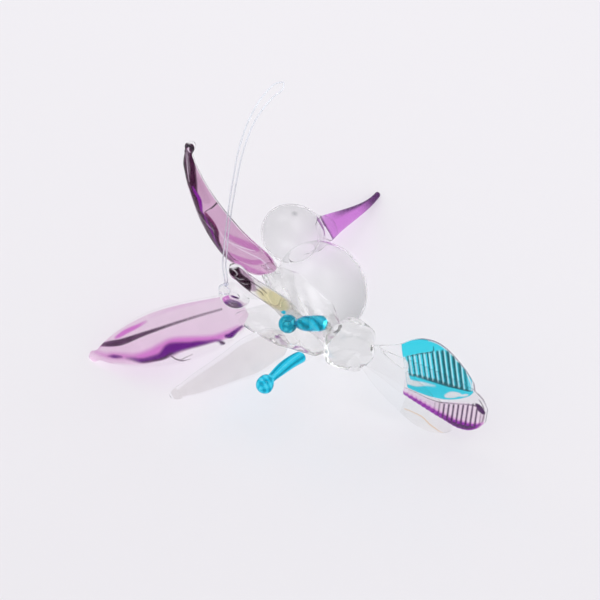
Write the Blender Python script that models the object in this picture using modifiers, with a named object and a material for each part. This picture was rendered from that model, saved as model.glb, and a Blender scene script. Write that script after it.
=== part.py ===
"""Glass hummingbird, a hanging ornament of blown and drawn glass, lying on its left side on a table.

Two thin blown bulbs make the body and the head. The beak, the wing feathers and the tail feathers are drawn and
pressed from coloured rod, and clear gathers of glass fuse them on. A glass eye on the back holds a nylon loop.

The bird is modelled in its own frame, with +X towards its head, +Y to its left, +Z to its back and the middle of
the rump knot at the origin. Its pieces hang under one empty, which rest_on_table turns and lowers until the beak,
the left wing and the tail touch the table at Z = 0. Pieces that are fused on the real bird stop GAP short of each
other here.
"""
import math

import bmesh
import bpy
import numpy as np
from mathutils import Matrix, Vector

MM = 0.001
GAP = 0.3 * MM                      # between two pieces that touch

# Blown body: an egg of thin glass, open at the neck
BODY_LENGTH = 30.0 * MM
BODY_DIAMETER = 26.6 * MM
BODY_WALL = 1.1 * MM
BODY_START = 6.3 * MM               # from the middle of the rump knot to the rear of the egg
NECK_DIAMETER = 8.4 * MM
NECK_BORE = 5.0 * MM

# Blown head: a ball drawn out into a short muzzle, which carries the beak
HEAD_DIAMETER = 18.4 * MM
HEAD_WALL = 1.0 * MM
BEAK_PITCH = math.radians(63.0)     # of the beak below the body's own axis
MUZZLE_REACH = 12.2 * MM            # from the middle of the head to the beak's seat, along the beak
MUZZLE_DROP = 5.0 * MM              # of the beak's axis towards the throat
MUZZLE_SOLID = 4.5 * MM             # solid glass behind the beak's seat

# Beak: a drawn purple rod
BEAK_LENGTH = 28.0 * MM
BEAK_BASE_DIAMETER = 8.0 * MM
BEAK_TIP_DIAMETER = 1.9 * MM
BEAK_BOW = 0.9 * MM

# Rump knot: the solid gather behind the body
KNOT_DIAMETER = 15.4 * MM
KNOT_LUMP = 0.05                    # share of the radius that the lumps stand out

# Wing roots: a flattened clear gather on each shoulder, given for the left side
ROOT_BASE = Vector((12.3, 5.4, 8.6)) * MM
ROOT_TOP = Vector((15.0, 7.9, 21.6)) * MM
ROOT_BASE_LENGTH = 21.5 * MM
ROOT_TOP_LENGTH = 20.0 * MM
ROOT_BASE_THICKNESS = 6.0 * MM
ROOT_TOP_THICKNESS = 4.4 * MM
ROOT_TOP_YAW = math.radians(22.0)   # of the top edge outwards from the body's axis
ROOT_TOP_RISE = math.radians(17.0)

# Wing feathers, given for the left side. The rows for each side are the distance from the root, the half
# width, the half thickness and the shift of the middle forwards, in millimetres
PRIMARY = {
    "root": Vector((22.7, 10.9, 24.7)) * MM,
    "sweep": math.radians(19.4), "rise": math.radians(41.0), "pitch": math.radians(48.7),
    "bow": 3.7 * MM, "twist": math.radians(15.0), "camber": 0.9 * MM,
    "left": [(-4.0, 2.4, 1.2, 0.0), (-2.0, 5.0, 1.8, 0.0), (2.0, 6.9, 1.9, 0.0), (8.0, 8.4, 1.7, 0.2),
             (15.0, 9.0, 1.5, 0.3), (22.0, 8.8, 1.4, 0.3), (30.0, 7.4, 1.3, 0.2), (37.0, 5.3, 1.2, 0.1),
             (42.0, 3.2, 1.15, 0.0), (45.2, 1.6, 1.2, 0.0), (46.9, 1.7, 1.6, 0.0), (48.3, 0.7, 0.7, 0.0)],
    "right": [(-4.0, 2.4, 1.2, 0.0), (-2.0, 5.0, 1.8, 0.0), (2.0, 7.0, 1.9, 0.0), (6.0, 7.9, 1.8, 0.1),
              (11.0, 7.6, 1.7, 0.2), (17.5, 6.7, 1.6, 0.3), (23.0, 5.9, 1.5, 0.2), (28.0, 4.9, 1.4, 0.1),
              (33.0, 3.9, 1.4, 0.0), (38.0, 2.9, 1.3, -0.3), (42.5, 2.0, 1.2, -0.9), (45.0, 1.25, 1.2, -1.7),
              (46.4, 1.55, 1.5, -2.5), (47.7, 0.6, 0.6, -3.3)]}
SECONDARY = {
    "root": Vector((7.2, 4.9, 19.4)) * MM,
    "sweep": math.radians(2.9), "rise": math.radians(47.7), "pitch": math.radians(30.0),
    "bow": 1.2 * MM, "twist": 0.0, "camber": 0.7 * MM,
    "left": [(-3.0, 2.6, 1.2, 0.0), (-0.5, 4.8, 1.7, 0.0), (4.0, 6.2, 1.8, 0.0), (8.5, 6.4, 1.6, 0.0),
             (14.0, 5.4, 1.5, 0.0), (20.0, 4.4, 1.4, 0.0), (26.0, 3.3, 1.4, 0.0), (30.0, 2.2, 1.3, 0.0),
             (32.6, 1.7, 1.6, 0.0), (34.2, 0.7, 0.7, 0.0)],
    "right": [(-3.0, 2.6, 1.2, 0.0), (-0.5, 4.6, 1.7, 0.0), (4.0, 5.6, 1.8, 0.0), (8.5, 5.6, 1.6, 0.0),
              (14.0, 5.0, 1.5, 0.0), (20.0, 4.2, 1.4, 0.0), (26.0, 3.3, 1.4, 0.0), (30.0, 2.4, 1.4, 0.0),
              (32.6, 2.1, 2.0, 0.0), (34.5, 0.9, 0.9, 0.0)]}
TERTIARY = {
    "left": {"root": Vector((3.4, 7.2, 10.5)) * MM, "ball": Vector((-1.6, 12.5, 23.9)) * MM, "rod": 3.6 * MM},
    "right": {"root": Vector((2.9, 7.6, 11.0)) * MM, "ball": Vector((0.2, 12.3, 25.5)) * MM, "rod": 4.4 * MM}}
TERTIARY_SINK = 2.5 * MM            # of the rod into the wing root, where it is cut to fit
TERTIARY_BALL = 5.2 * MM            # across
TERTIARY_NECK = 2.6 * MM

# Tail: three pressed feathers in layers. An outline's rows are the distance along the feather and its two
# edges, in millimetres. The colour starts at "seam", and the glass before it is clear
TAIL_PITCH = math.radians(49.7)     # of the fan below the line straight back
TAIL_BEND = 2.2 * MM                # of the fan's outer end towards the belly
TAIL_THICKNESS = 2.2 * MM
TAIL_REACH = 47.0 * MM
RIB_PITCH = 1.5 * MM
RIB_DEPTH = 0.55 * MM
RIB_BAND = 0.62                     # share of the half width that is ribbed
TAIL_FEATHERS = {
    "right": {"turn": math.radians(14.0), "slant": math.radians(30.0), "layer": 1, "seam": 16.6 * MM,
              "outline": [(3.0, -3.2, 3.2), (9.0, -5.0, 5.0), (16.6, -8.4, 8.2), (20.0, -9.4, 10.8),
                          (24.0, -9.9, 12.4), (29.0, -9.2, 11.4), (33.0, -7.2, 6.8), (35.4, -5.2, 2.6),
                          (36.8, -3.2, -0.8)]},
    "middle": {"turn": math.radians(-6.0), "slant": math.radians(19.0), "layer": 0, "seam": 18.4 * MM,
               "outline": [(3.0, -3.6, 3.6), (10.0, -5.2, 5.0), (18.4, -7.2, 6.6), (25.0, -8.2, 7.8),
                           (32.0, -9.0, 8.6), (38.0, -9.2, 8.8), (41.6, -7.4, 8.0), (44.2, -4.4, 6.2),
                           (45.8, -1.2, 3.6)]},
    "left": {"turn": math.radians(-24.0), "slant": math.radians(8.0), "layer": -1, "seam": 24.0 * MM,
             "outline": [(3.0, -4.0, 3.2), (12.0, -7.6, 5.0), (18.0, -8.3, 6.0), (24.0, -8.6, 6.8),
                         (31.0, -8.3, 7.2), (37.0, -5.8, 6.6), (41.0, -2.4, 4.8), (43.3, 0.8, 2.8)]}}

# Eye on the back, which stands in the bird's middle plane, and the nylon line tied through it
EYE_X = 21.5 * MM
EYE_HEIGHT = 28.9 * MM              # of its middle above the bird's axis
EYE_ROD = 2.9 * MM
EYE_BORE = 3.4 * MM
STALK_DIAMETER = 4.6 * MM
LINE_DIAMETER = 0.4 * MM
HITCH_ANGLE = math.radians(45.0)    # round the eye, from forward towards the back
KNOT_WIDTH = 1.5 * MM               # of the nylon knot

# The nylon loop's middle line, as places in millimetres from its knot in the table's axes, and half the
# distance between its two strands there
LOOP_ROUTE = [(0.0, -0.2, 1.08, 0.30), (0.1, -0.8, 4.0, 0.36), (-0.1, -0.8, 7.4, 0.40), (-0.5, -0.3, 11.4, 0.42),
              (-0.5, 0.6, 15.4, 0.42), (-0.4, 1.8, 19.8, 0.42), (-0.3, 3.1, 23.8, 0.42), (-0.1, 4.6, 27.7, 0.42),
              (0.3, 7.0, 33.6, 0.44), (1.0, 11.6, 40.9, 0.50), (1.8, 16.7, 46.1, 0.60), (4.2, 24.5, 50.7, 0.80),
              (7.6, 30.8, 52.2, 1.10), (10.2, 34.4, 51.8, 0.95)]
LOOP_FACE = (0.0, -0.42, 0.91)      # the way the flat of the loop faces
LOOP_POINTS = 72

HEADING = math.radians(28.0)        # of the bird on the table, from +Y towards -X

CLEAR = (0.93, 0.95, 0.95)
PURPLE = (0.42, 0.10, 0.50)
CYAN = (0.02, 0.55, 0.72)
STRAW = (0.93, 0.90, 0.72)
NYLON = (0.86, 0.88, 0.90)

SIDES = {"left": 1.0, "right": -1.0}


def glass(name, colour):
    """Make a Principled glass of one colour."""
    material = bpy.data.materials.new(name)
    material.use_nodes = True
    shader = material.node_tree.nodes["Principled BSDF"]
    shader.inputs["Base Color"].default_value = (*colour, 1.0)
    shader.inputs["Roughness"].default_value = 0.03
    shader.inputs["Metallic"].default_value = 0.0
    shader.inputs["IOR"].default_value = 1.5
    shader.inputs["Transmission Weight"].default_value = 0.9
    material.diffuse_color = (*colour, 1.0)
    return material


def new_collection(name):
    """Make a collection in the scene."""
    collection = bpy.data.collections.new(name)
    bpy.context.scene.collection.children.link(collection)
    return collection


def smooth(rows, at):
    """Read a table at the places in at: a Catmull-Rom curve through its rows, keyed by their first column."""
    rows = np.array(rows, dtype=float)
    keys = rows[:, 0]
    slopes = np.gradient(rows[:, 1:], keys, axis=0)
    index = np.clip(np.searchsorted(keys, at) - 1, 0, len(keys) - 2)
    span = (keys[index + 1] - keys[index])[:, None]
    t = ((at - keys[index])[:, None]) / span
    low, high = rows[index, 1:], rows[index + 1, 1:]
    return ((2 * t**3 - 3 * t**2 + 1) * low + (t**3 - 2 * t**2 + t) * span * slopes[index]
            + (3 * t**2 - 2 * t**3) * high + (t**3 - t**2) * span * slopes[index + 1])


def finish(mesh_data, name, material, bird, collection, smooth_angle=40.0):
    """Turn a bmesh into a shaded object of the bird, with its faces outwards."""
    bmesh.ops.recalc_face_normals(mesh_data, faces=mesh_data.faces)
    mesh = bpy.data.meshes.new(name)
    mesh_data.to_mesh(mesh)
    mesh_data.free()
    mesh.shade_smooth()
    mesh.set_sharp_from_angle(angle=math.radians(smooth_angle))
    if material:
        mesh.materials.append(material)
    piece = bpy.data.objects.new(name, mesh)
    collection.objects.link(piece)
    piece.parent = bird
    if material is None:
        piece.hide_render = True
        piece.display_type = "WIRE"
    return piece


def loft(name, rings, material, bird, collection):
    """Skin a row of rings of equal count, each an array of points, and close both ends."""
    skin = bmesh.new()
    rows = [[skin.verts.new(Vector(point)) for point in ring] for ring in rings]
    count = len(rows[0])
    for near, far in zip(rows, rows[1:]):
        for i in range(count):
            j = (i + 1) % count
            skin.faces.new((near[i], near[j], far[j], far[i]))
    skin.faces.new(rows[0])
    skin.faces.new(rows[-1])
    return finish(skin, name, material, bird, collection)


def as_mesh(curve_object, material, bird, collection):
    """Replace a curve object by its mesh, with its caps welded, so that it can be cut or joined."""
    bpy.context.view_layer.update()
    evaluated = curve_object.evaluated_get(bpy.context.evaluated_depsgraph_get())
    mesh = bpy.data.meshes.new_from_object(evaluated)
    welded = bmesh.new()
    welded.from_mesh(mesh)
    bmesh.ops.remove_doubles(welded, verts=welded.verts, dist=0.00001)
    name = curve_object.name
    matrix = curve_object.matrix_world.copy()
    bpy.data.objects.remove(curve_object)
    bpy.data.meshes.remove(mesh)
    piece = finish(welded, name, material, bird, collection)
    piece.matrix_world = matrix
    return piece


def rod(name, points, radii, material, bird, collection, resolution=3):
    """Draw a glass rod or a line through points: a bevelled curve with filled caps."""
    curve = bpy.data.curves.new(name, "CURVE")
    curve.dimensions = "3D"
    curve.bevel_depth = 1.0
    curve.bevel_resolution = resolution
    curve.use_fill_caps = True
    spline = curve.splines.new("POLY")
    spline.points.add(len(points) - 1)
    for target, point, radius in zip(spline.points, points, radii):
        target.co = (*point, 1.0)
        target.radius = radius
    curve.materials.append(material)
    piece = bpy.data.objects.new(name, curve)
    collection.objects.link(piece)
    piece.parent = bird
    return piece


def boolean(piece, other, operation):
    """Join another solid to a piece, or cut it away, with the exact solver."""
    modifier = piece.modifiers.new(f"{operation.lower()} {other.name}", "BOOLEAN")
    modifier.operation = operation
    modifier.solver = "EXACT"
    modifier.object = other


def body_profile(grow):
    """The egg's outer profile as rows of radius and height, from its neck to its rear pole."""
    half = BODY_LENGTH / 2 + grow
    radius = BODY_DIAMETER / 2 + grow
    neck = math.asin(NECK_DIAMETER / 2 / radius)
    angles = np.linspace(neck, math.pi, 17)
    heights = BODY_START + BODY_LENGTH / 2 + half * np.cos(angles)
    return [(radius * math.sin(a), h) for a, h in zip(angles, heights)]


def neck_plane():
    """Where the egg is cut off for the head, along the bird's axis."""
    return body_profile(0.0)[0][1]


def turned(name, profile, material, bird, collection, segments=26):
    """Turn a profile of radius and height about the bird's long axis."""
    mesh = bpy.data.meshes.new(name)
    points = [(radius, 0.0, height) for radius, height in profile]
    mesh.from_pydata(points, [(i, i + 1) for i in range(len(points) - 1)], [])
    piece = bpy.data.objects.new(name, mesh)
    collection.objects.link(piece)
    piece.parent = bird
    piece.rotation_euler = (0.0, math.radians(90.0), 0.0)
    screw = piece.modifiers.new("turn", "SCREW")
    screw.steps = segments
    screw.render_steps = segments
    screw.use_merge_vertices = True
    screw.merge_threshold = 0.00001
    screw.use_smooth_shade = True
    if material:
        mesh.materials.append(material)
    else:
        piece.hide_render = True
        piece.display_type = "WIRE"
    return piece


def make_body(parts, bird, material):
    """Blow the body: an egg-shaped shell whose only opening is the bore at its neck."""
    outer = body_profile(0.0)
    half = BODY_LENGTH / 2 - BODY_WALL
    radius = BODY_DIAMETER / 2 - BODY_WALL
    start = math.pi - math.asin(NECK_BORE / 2 / radius)
    angles = np.linspace(0.0, start, 13)
    middle = BODY_START + BODY_LENGTH / 2
    inner = [(radius * math.sin(a), middle - half * math.cos(a)) for a in angles]
    inner.append((NECK_BORE / 2, outer[0][1]))
    return turned("body_bulb", inner + outer, material, bird, parts)


def body_cutter(cutters, bird):
    """The egg, grown by the gap and closed at the neck, to seat the pieces that are fused to the body."""
    profile = body_profile(GAP)
    return turned("body_seat", [(0.0, profile[0][1])] + profile, None, bird, cutters)


def head_rings(radius, reach, end_radius, segments=24):
    """Circles square to the beak: a ball about the origin that runs out into the muzzle."""
    turn = math.radians(36.0)
    leave = radius * math.sin(turn)
    ball = -radius * np.cos(np.linspace(math.radians(9.0), math.radians(90.0) + turn, 13))
    muzzle = np.linspace(leave, reach, 8)[1:]
    t = (muzzle - leave) / (reach - leave)
    span = reach - leave
    slopes = (-math.tan(turn), -0.12)
    neck = ((2 * t**3 - 3 * t**2 + 1) * radius * math.cos(turn) + (t**3 - 2 * t**2 + t) * span * slopes[0]
            + (3 * t**2 - 2 * t**3) * end_radius + (t**3 - t**2) * span * slopes[1])
    along = np.concatenate([ball, muzzle])
    radii = np.concatenate([np.sqrt(radius**2 - ball**2), neck])
    drop = np.clip(along / MUZZLE_REACH, 0.0, 1.0)
    drop = MUZZLE_DROP * drop**2 * (3 - 2 * drop)
    beak, throat = beak_axes()
    rings = []
    for s, r, d in zip(along, radii, drop):
        angles = np.linspace(0.0, 2 * math.pi, segments, endpoint=False)
        rings.append([beak * s + throat * (d + r * math.cos(a)) + Vector((0.0, r * math.sin(a), 0.0))
                      for a in angles])
    return rings


def beak_axes():
    """The beak's direction, and the direction square to it that points at the throat."""
    beak = Vector((math.cos(BEAK_PITCH), 0.0, -math.sin(BEAK_PITCH)))
    return beak, Vector((-math.sin(BEAK_PITCH), 0.0, -math.cos(BEAK_PITCH)))


def head_middle():
    """The middle of the head's ball, which is cut off at the neck where it is as wide as the neck."""
    reach = math.sqrt((HEAD_DIAMETER / 2)**2 - (NECK_DIAMETER / 2)**2)
    return Vector((neck_plane() + GAP + reach, 0.0, 0.0))


def cylinder(name, start, length, diameter, bird, collection):
    """A cutting cylinder along the bird's axis."""
    solid = bmesh.new()
    turn = Matrix.Rotation(math.radians(90.0), 4, "Y")
    place = Matrix.Translation((start + length / 2, 0.0, 0.0)) @ turn
    bmesh.ops.create_cone(solid, cap_ends=True, segments=24, radius1=diameter / 2, radius2=diameter / 2,
                          depth=length, matrix=place)
    return finish(solid, name, None, bird, collection)


def make_head(parts, cutters, bird, material):
    """Blow the head: a ball with a muzzle, hollow, cut flat at the neck and open to the body there."""
    middle = head_middle()
    head = loft("head_bulb", head_rings(HEAD_DIAMETER / 2, MUZZLE_REACH, BEAK_BASE_DIAMETER / 2),
                material, bird, parts)
    hollow = loft("head_hollow", head_rings(HEAD_DIAMETER / 2 - HEAD_WALL, MUZZLE_REACH - MUZZLE_SOLID,
                                            BEAK_BASE_DIAMETER / 2 - HEAD_WALL), None, bird, cutters)
    head.location = middle
    hollow.location = middle
    neck = neck_plane() + GAP
    boolean(head, hollow, "DIFFERENCE")
    boolean(head, cylinder("neck_flat", neck - HEAD_DIAMETER, HEAD_DIAMETER, HEAD_DIAMETER, bird, cutters),
            "DIFFERENCE")
    boolean(head, cylinder("neck_bore", neck - HEAD_WALL, HEAD_DIAMETER / 2, NECK_BORE, bird, cutters),
            "DIFFERENCE")
    return head


def make_beak(parts, bird, material):
    """Draw the beak: a rod that thins to a blunt tip and bows a little upwards."""
    beak, throat = beak_axes()
    seat = head_middle() + beak * (MUZZLE_REACH + GAP) + throat * MUZZLE_DROP
    t = np.linspace(0.0, 1.0, 15)
    radii = BEAK_TIP_DIAMETER / 2 + (BEAK_BASE_DIAMETER - BEAK_TIP_DIAMETER) / 2 * (1 - t)**1.5
    points = [seat + beak * (BEAK_LENGTH * s) + throat * (BEAK_BOW * 6.75 * s**2 * (1 - s)) for s in t]
    tip = points[-1] + (points[-1] - points[-2]).normalized() * BEAK_TIP_DIAMETER * 0.35
    points.append(tip)
    radii = np.append(radii, BEAK_TIP_DIAMETER * 0.28)
    return as_mesh(rod("beak", points, radii, material, bird, parts), material, bird, parts)


def knot_solid(name, grow, material, bird, collection):
    """The lumpy gather behind the body, made larger by grow."""
    solid = bmesh.new()
    bmesh.ops.create_uvsphere(solid, u_segments=22, v_segments=14, radius=1.0)
    for vertex in solid.verts:
        x, y, z = vertex.co
        around = math.atan2(z, y)
        lump = 1.0 + KNOT_LUMP * (math.sin(3 * around + 4 * x) + 0.8 * math.sin(2 * around - 7 * x))
        vertex.co *= KNOT_DIAMETER / 2 * lump + grow
    return finish(solid, name, material, bird, collection, smooth_angle=60.0)


def root_rings(side, grow, segments=20):
    """Ovals from the body's back up to the wing feathers, each long along the body and thin across."""
    rings = []
    top_way = Vector((math.cos(ROOT_TOP_RISE) * math.cos(ROOT_TOP_YAW),
                      math.cos(ROOT_TOP_RISE) * math.sin(ROOT_TOP_YAW), math.sin(ROOT_TOP_RISE)))
    climb = ROOT_TOP - ROOT_BASE
    for t, size in ((-0.18, 0.9), (0.0, 1.0), (0.25, 1.0), (0.5, 1.0), (0.72, 1.0), (0.88, 0.97),
                    (0.98, 0.86), (1.04, 0.62)):
        share = min(max(t, 0.0), 1.0)
        way = Vector((1.0, 0.0, 0.0)).lerp(top_way, share).normalized()
        across = climb.cross(way).normalized()
        half = (ROOT_BASE_LENGTH + (ROOT_TOP_LENGTH - ROOT_BASE_LENGTH) * share) / 2 * (0.4 + 0.6 * size)
        thin = (ROOT_BASE_THICKNESS + (ROOT_TOP_THICKNESS - ROOT_BASE_THICKNESS) * share) / 2 * size
        middle = ROOT_BASE + climb * t + climb.normalized() * (grow if t > 1.0 else 0.0)
        ring = []
        for a in np.linspace(0.0, 2 * math.pi, segments, endpoint=False):
            c, s = math.cos(a), math.sin(a)
            point = middle + way * ((half + grow) * c) + across * ((thin + grow) * s)
            ring.append(Vector((point.x, point.y * side, point.z)))
        rings.append(ring)
    return rings


def wing_direction(sweep, rise):
    """A left wing's direction: swept forward from square, and raised from level."""
    flat = math.cos(sweep)
    return Vector((math.sin(sweep), flat * math.cos(rise), flat * math.sin(rise)))


def feather_rings(feather, side_name, stations=18, segments=14):
    """Flattened ovals along a wing feather, which bows, twists and ends in a small ball."""
    side = SIDES[side_name]
    outline = feather[side_name]
    along = wing_direction(feather["sweep"], feather["rise"])
    back = Vector((-1.0, 0.0, 0.0))
    back = (back - along * back.dot(along)).normalized()
    last = outline[-1][0]
    widest = max(row[1] for row in outline)
    spread = np.linspace(outline[0][0], outline[-4][0], stations)
    tip = np.linspace(outline[-4][0], last, 7)
    places = np.concatenate([spread, tip[1:]])
    rings = []
    for place, (half, thin, shift) in zip(places, smooth(outline, places)):
        t = place / last
        face = Matrix.Rotation(feather["pitch"] + feather["twist"] * (t - 0.5), 3, along) @ back
        chord = along.cross(face)
        middle = (feather["root"] + along * (place * MM) + chord * (shift * MM)
                  + face * (feather["bow"] * 4 * t * (1 - t)))
        ring = []
        for a in np.linspace(0.0, 2 * math.pi, segments, endpoint=False):
            across = math.cos(a)
            cup = feather["camber"] * (half / widest) * (1 - across**2)
            point = middle + chord * (half * MM * across) + face * (thin * MM * math.sin(a) + cup)
            ring.append(Vector((point.x, point.y * side, point.z)))
        rings.append(ring)
    return rings


def make_tertiary(name, side_name, parts, bird, material):
    """Draw the short third feather of a wing: a rod that necks in before the ball at its end."""
    side = SIDES[side_name]
    shape = TERTIARY[side_name]
    along = shape["ball"] - shape["root"]
    length = along.length
    along.normalize()
    thick = shape["rod"] / 2
    ball = TERTIARY_BALL / 2
    neck = length - ball * 0.9
    rows = [(-TERTIARY_SINK, thick), (neck * 0.35, thick), (neck * 0.8, (thick + TERTIARY_NECK / 2) / 2),
            (neck, TERTIARY_NECK / 2)]
    shaft = np.linspace(-TERTIARY_SINK, neck, 12)
    places = list(zip(shaft, smooth(rows, shaft)[:, 0]))
    for angle in np.radians([150.0, 125.0, 100.0, 75.0, 50.0, 28.0, 10.0]):
        places.append((length + ball * math.cos(angle), ball * math.sin(angle)))
    points = [shape["root"] + along * place for place, _ in places]
    points = [Vector((p.x, p.y * side, p.z)) for p in points]
    radii = [radius for _, radius in places]
    return as_mesh(rod(name, points, radii, material, bird, parts), material, bird, parts)


def tail_point(t, r, lift):
    """A place in the tail fan: t outwards, r to the bird's right and lift off the fan's back."""
    out = Vector((-math.cos(TAIL_PITCH), 0.0, -math.sin(TAIL_PITCH)))
    off = Vector((-math.sin(TAIL_PITCH), 0.0, math.cos(TAIL_PITCH)))
    bend = TAIL_BEND * (t / TAIL_REACH)**2
    return out * t + Vector((0.0, -r, 0.0)) + off * (lift - bend)


def tail_rings(feather, start, end, ribbed):
    """Sections across a tail feather from start to end: a flat pressed blade with round edges and cut ribs."""
    columns = [(-1.0, 0.0), (-0.93, 0.72), (-0.72, 1.0), (-RIB_BAND, 1.0), (-RIB_BAND / 3, 1.0),
               (RIB_BAND / 3, 1.0), (RIB_BAND, 1.0), (0.72, 1.0), (0.93, 0.72), (1.0, 0.0)]
    under = [(0.93, -0.72), (0.5, -1.0), (-0.5, -1.0), (-0.93, -0.72)]
    count = int(round((end - start) / RIB_PITCH)) * 2 if ribbed else 6
    places = np.linspace(start, end, count + 1)
    edges = smooth(feather["outline"], places / MM) * MM
    turn, slant = feather["turn"], feather["slant"]
    layer = feather["layer"] * (TAIL_THICKNESS + GAP)
    half = TAIL_THICKNESS / 2
    outline_end = feather["outline"][-1][0] * MM
    rings = []
    for step, (place, (low, high)) in enumerate(zip(places, edges)):
        thin = half * min(1.0, math.sqrt(max(outline_end - place, 0.0) / half) * 0.5 + 0.45)
        fade = min(1.0, max(outline_end - RIB_PITCH - place, 0.0) / RIB_PITCH)
        ring = []
        for share, height in columns + under:
            across = (low + high) / 2 + share * (high - low) / 2
            lift = thin * height
            if ribbed and step % 2 and height == 1.0 and abs(share) < 0.7:
                lift -= RIB_DEPTH * fade
            t = place * math.cos(turn) - across * math.sin(slant)
            r = place * math.sin(turn) + across * math.cos(slant)
            ring.append(tail_point(t, r, layer + lift))
        rings.append(ring)
    return rings


def eye_middle():
    """The middle of the hanging eye."""
    return Vector((EYE_X, 0.0, EYE_HEIGHT))


def make_eye(parts, cutters, bird, material):
    """Bend the eye: a ring in the bird's middle plane on a short stalk from the body's back."""
    ring_radius = (EYE_BORE + EYE_ROD) / 2
    angles = np.linspace(0.0, 2 * math.pi, 28, endpoint=False)
    ring = bmesh.new()
    sides = 12
    rows = []
    for a in angles:
        out = Vector((math.cos(a), 0.0, math.sin(a)))
        middle = eye_middle() + out * ring_radius
        row = []
        for b in np.linspace(0.0, 2 * math.pi, sides, endpoint=False):
            offset = out * math.cos(b) + Vector((0.0, math.sin(b), 0.0))
            row.append(ring.verts.new(middle + offset * (EYE_ROD / 2)))
        rows.append(row)
    for i, row in enumerate(rows):
        after = rows[(i + 1) % len(rows)]
        for j in range(sides):
            k = (j + 1) % sides
            ring.faces.new((row[j], row[k], after[k], after[j]))
    eye = finish(ring, "hang_eye", material, bird, parts)
    foot = BODY_DIAMETER / 2 - STALK_DIAMETER / 2
    top = EYE_HEIGHT - ring_radius
    stalk = bmesh.new()
    bmesh.ops.create_cone(stalk, cap_ends=True, segments=16, radius1=STALK_DIAMETER / 2,
                          radius2=EYE_ROD * 0.45, depth=top - foot,
                          matrix=Matrix.Translation((EYE_X, 0.0, (top + foot) / 2)))
    boolean(eye, finish(stalk, "eye_stalk", None, bird, cutters), "UNION")
    return eye


def hitch_frame():
    """Where the line turns round the eye's rod: the rod's middle, the way out of the eye and the turn's radius."""
    out = Vector((math.cos(HITCH_ANGLE), 0.0, math.sin(HITCH_ANGLE)))
    middle = eye_middle() + out * ((EYE_BORE + EYE_ROD) / 2)
    return middle, out, EYE_ROD / 2 + GAP + LINE_DIAMETER / 2


def knot_place():
    """The middle of the nylon knot, on the right-hand side of the eye's rod."""
    middle, out, radius = hitch_frame()
    return middle + Vector((0.0, -1.0, 0.0)) * (radius + KNOT_WIDTH * 0.25) + out * (KNOT_WIDTH * 0.2)


def make_hitch(parts, bird, material):
    """Pass the line through the eye: one turn round the rod, from the knot back to the knot."""
    middle, out, radius = hitch_frame()
    clear = math.asin((KNOT_WIDTH / 2 + GAP) / radius)
    angles = np.linspace(-math.pi / 2 + clear * 1.35, 1.5 * math.pi - clear * 0.95, 18)
    points = [middle + out * (radius * math.cos(a)) + Vector((0.0, radius * math.sin(a), 0.0)) for a in angles]
    radii = [LINE_DIAMETER / 2] * len(points)
    return rod("thread_hitch", points, radii, material, bird, parts, resolution=2)


def make_line_knot(parts, bird, material):
    """Tie the knot: a small pulled-tight lump of line."""
    lump = bmesh.new()
    bmesh.ops.create_uvsphere(lump, u_segments=12, v_segments=8, radius=KNOT_WIDTH / 2)
    for vertex in lump.verts:
        around = math.atan2(vertex.co.y, vertex.co.x)
        vertex.co *= 0.94 + 0.06 * math.sin(3 * around + vertex.co.z / KNOT_WIDTH * 5)
    knot = finish(lump, "thread_knot", material, bird, parts, smooth_angle=60.0)
    knot.location = knot_place()
    return knot


def loop_points():
    """The nylon loop's points from its knot: up one strand, round the bight and down the other."""
    rows = np.array(LOOP_ROUTE) * MM
    middle = rows[:, :3]
    aside = np.cross(np.gradient(middle, axis=0), LOOP_FACE)
    aside *= rows[:, 3:] / np.linalg.norm(aside, axis=1, keepdims=True)
    bight = middle[-1] + (middle[-1] - middle[-2]) * 0.28
    chosen = np.vstack([middle - aside, bight, (middle + aside)[::-1]])
    steps = np.linalg.norm(np.diff(chosen, axis=0), axis=1)
    length = np.concatenate([[0.0], np.cumsum(steps)])
    keyed = np.column_stack([length, chosen])
    ease = np.linspace(-1.0, 1.0, LOOP_POINTS)
    return smooth(keyed, length[-1] / 2 * (1 + ease * np.abs(ease)**0.5))


def piece_points(piece):
    """A piece's corners as it is evaluated, in world space."""
    evaluated = piece.evaluated_get(bpy.context.evaluated_depsgraph_get())
    mesh = evaluated.to_mesh()
    corners = np.empty(len(mesh.vertices) * 3)
    mesh.vertices.foreach_get("co", corners)
    evaluated.to_mesh_clear()
    matrix = np.array(piece.matrix_world)
    return corners.reshape(-1, 3) @ matrix[:3, :3].T + matrix[:3, 3]


def rest_on_table(bird, feet, pieces):
    """Lay the bird on the plane that its three feet touch, turn it to its heading and centre it on the origin.

    The plane through the lowest corner of each foot gives a new way down, which gives new lowest corners, until
    they stay the same.
    """
    bpy.context.view_layer.update()
    corners = [piece_points(foot) for foot in feet]
    up = np.array([-0.16, -0.90, 0.40])
    for _ in range(12):
        a, b, c = (points[np.argmin(points @ up)] for points in corners)
        normal = np.cross(b - a, c - a)
        normal *= np.sign(normal @ up) / np.linalg.norm(normal)
        up = normal
    forward = np.array([1.0, 0.0, 0.0])
    forward -= up * (forward @ up)
    forward /= np.linalg.norm(forward)
    leftward = np.cross(up, forward)
    upright = Matrix((tuple(leftward * -1.0), tuple(forward), tuple(up))).to_4x4()
    bird.matrix_world = Matrix.Rotation(HEADING, 4, "Z") @ upright
    bpy.context.view_layer.update()
    everything = np.vstack([piece_points(piece) for piece in pieces])
    low, high = everything.min(axis=0), everything.max(axis=0)
    shift = Vector((-(low[0] + high[0]) / 2, -(low[1] + high[1]) / 2, -low[2]))
    bird.matrix_world = Matrix.Translation(shift) @ bird.matrix_world
    bpy.context.view_layer.update()


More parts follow.
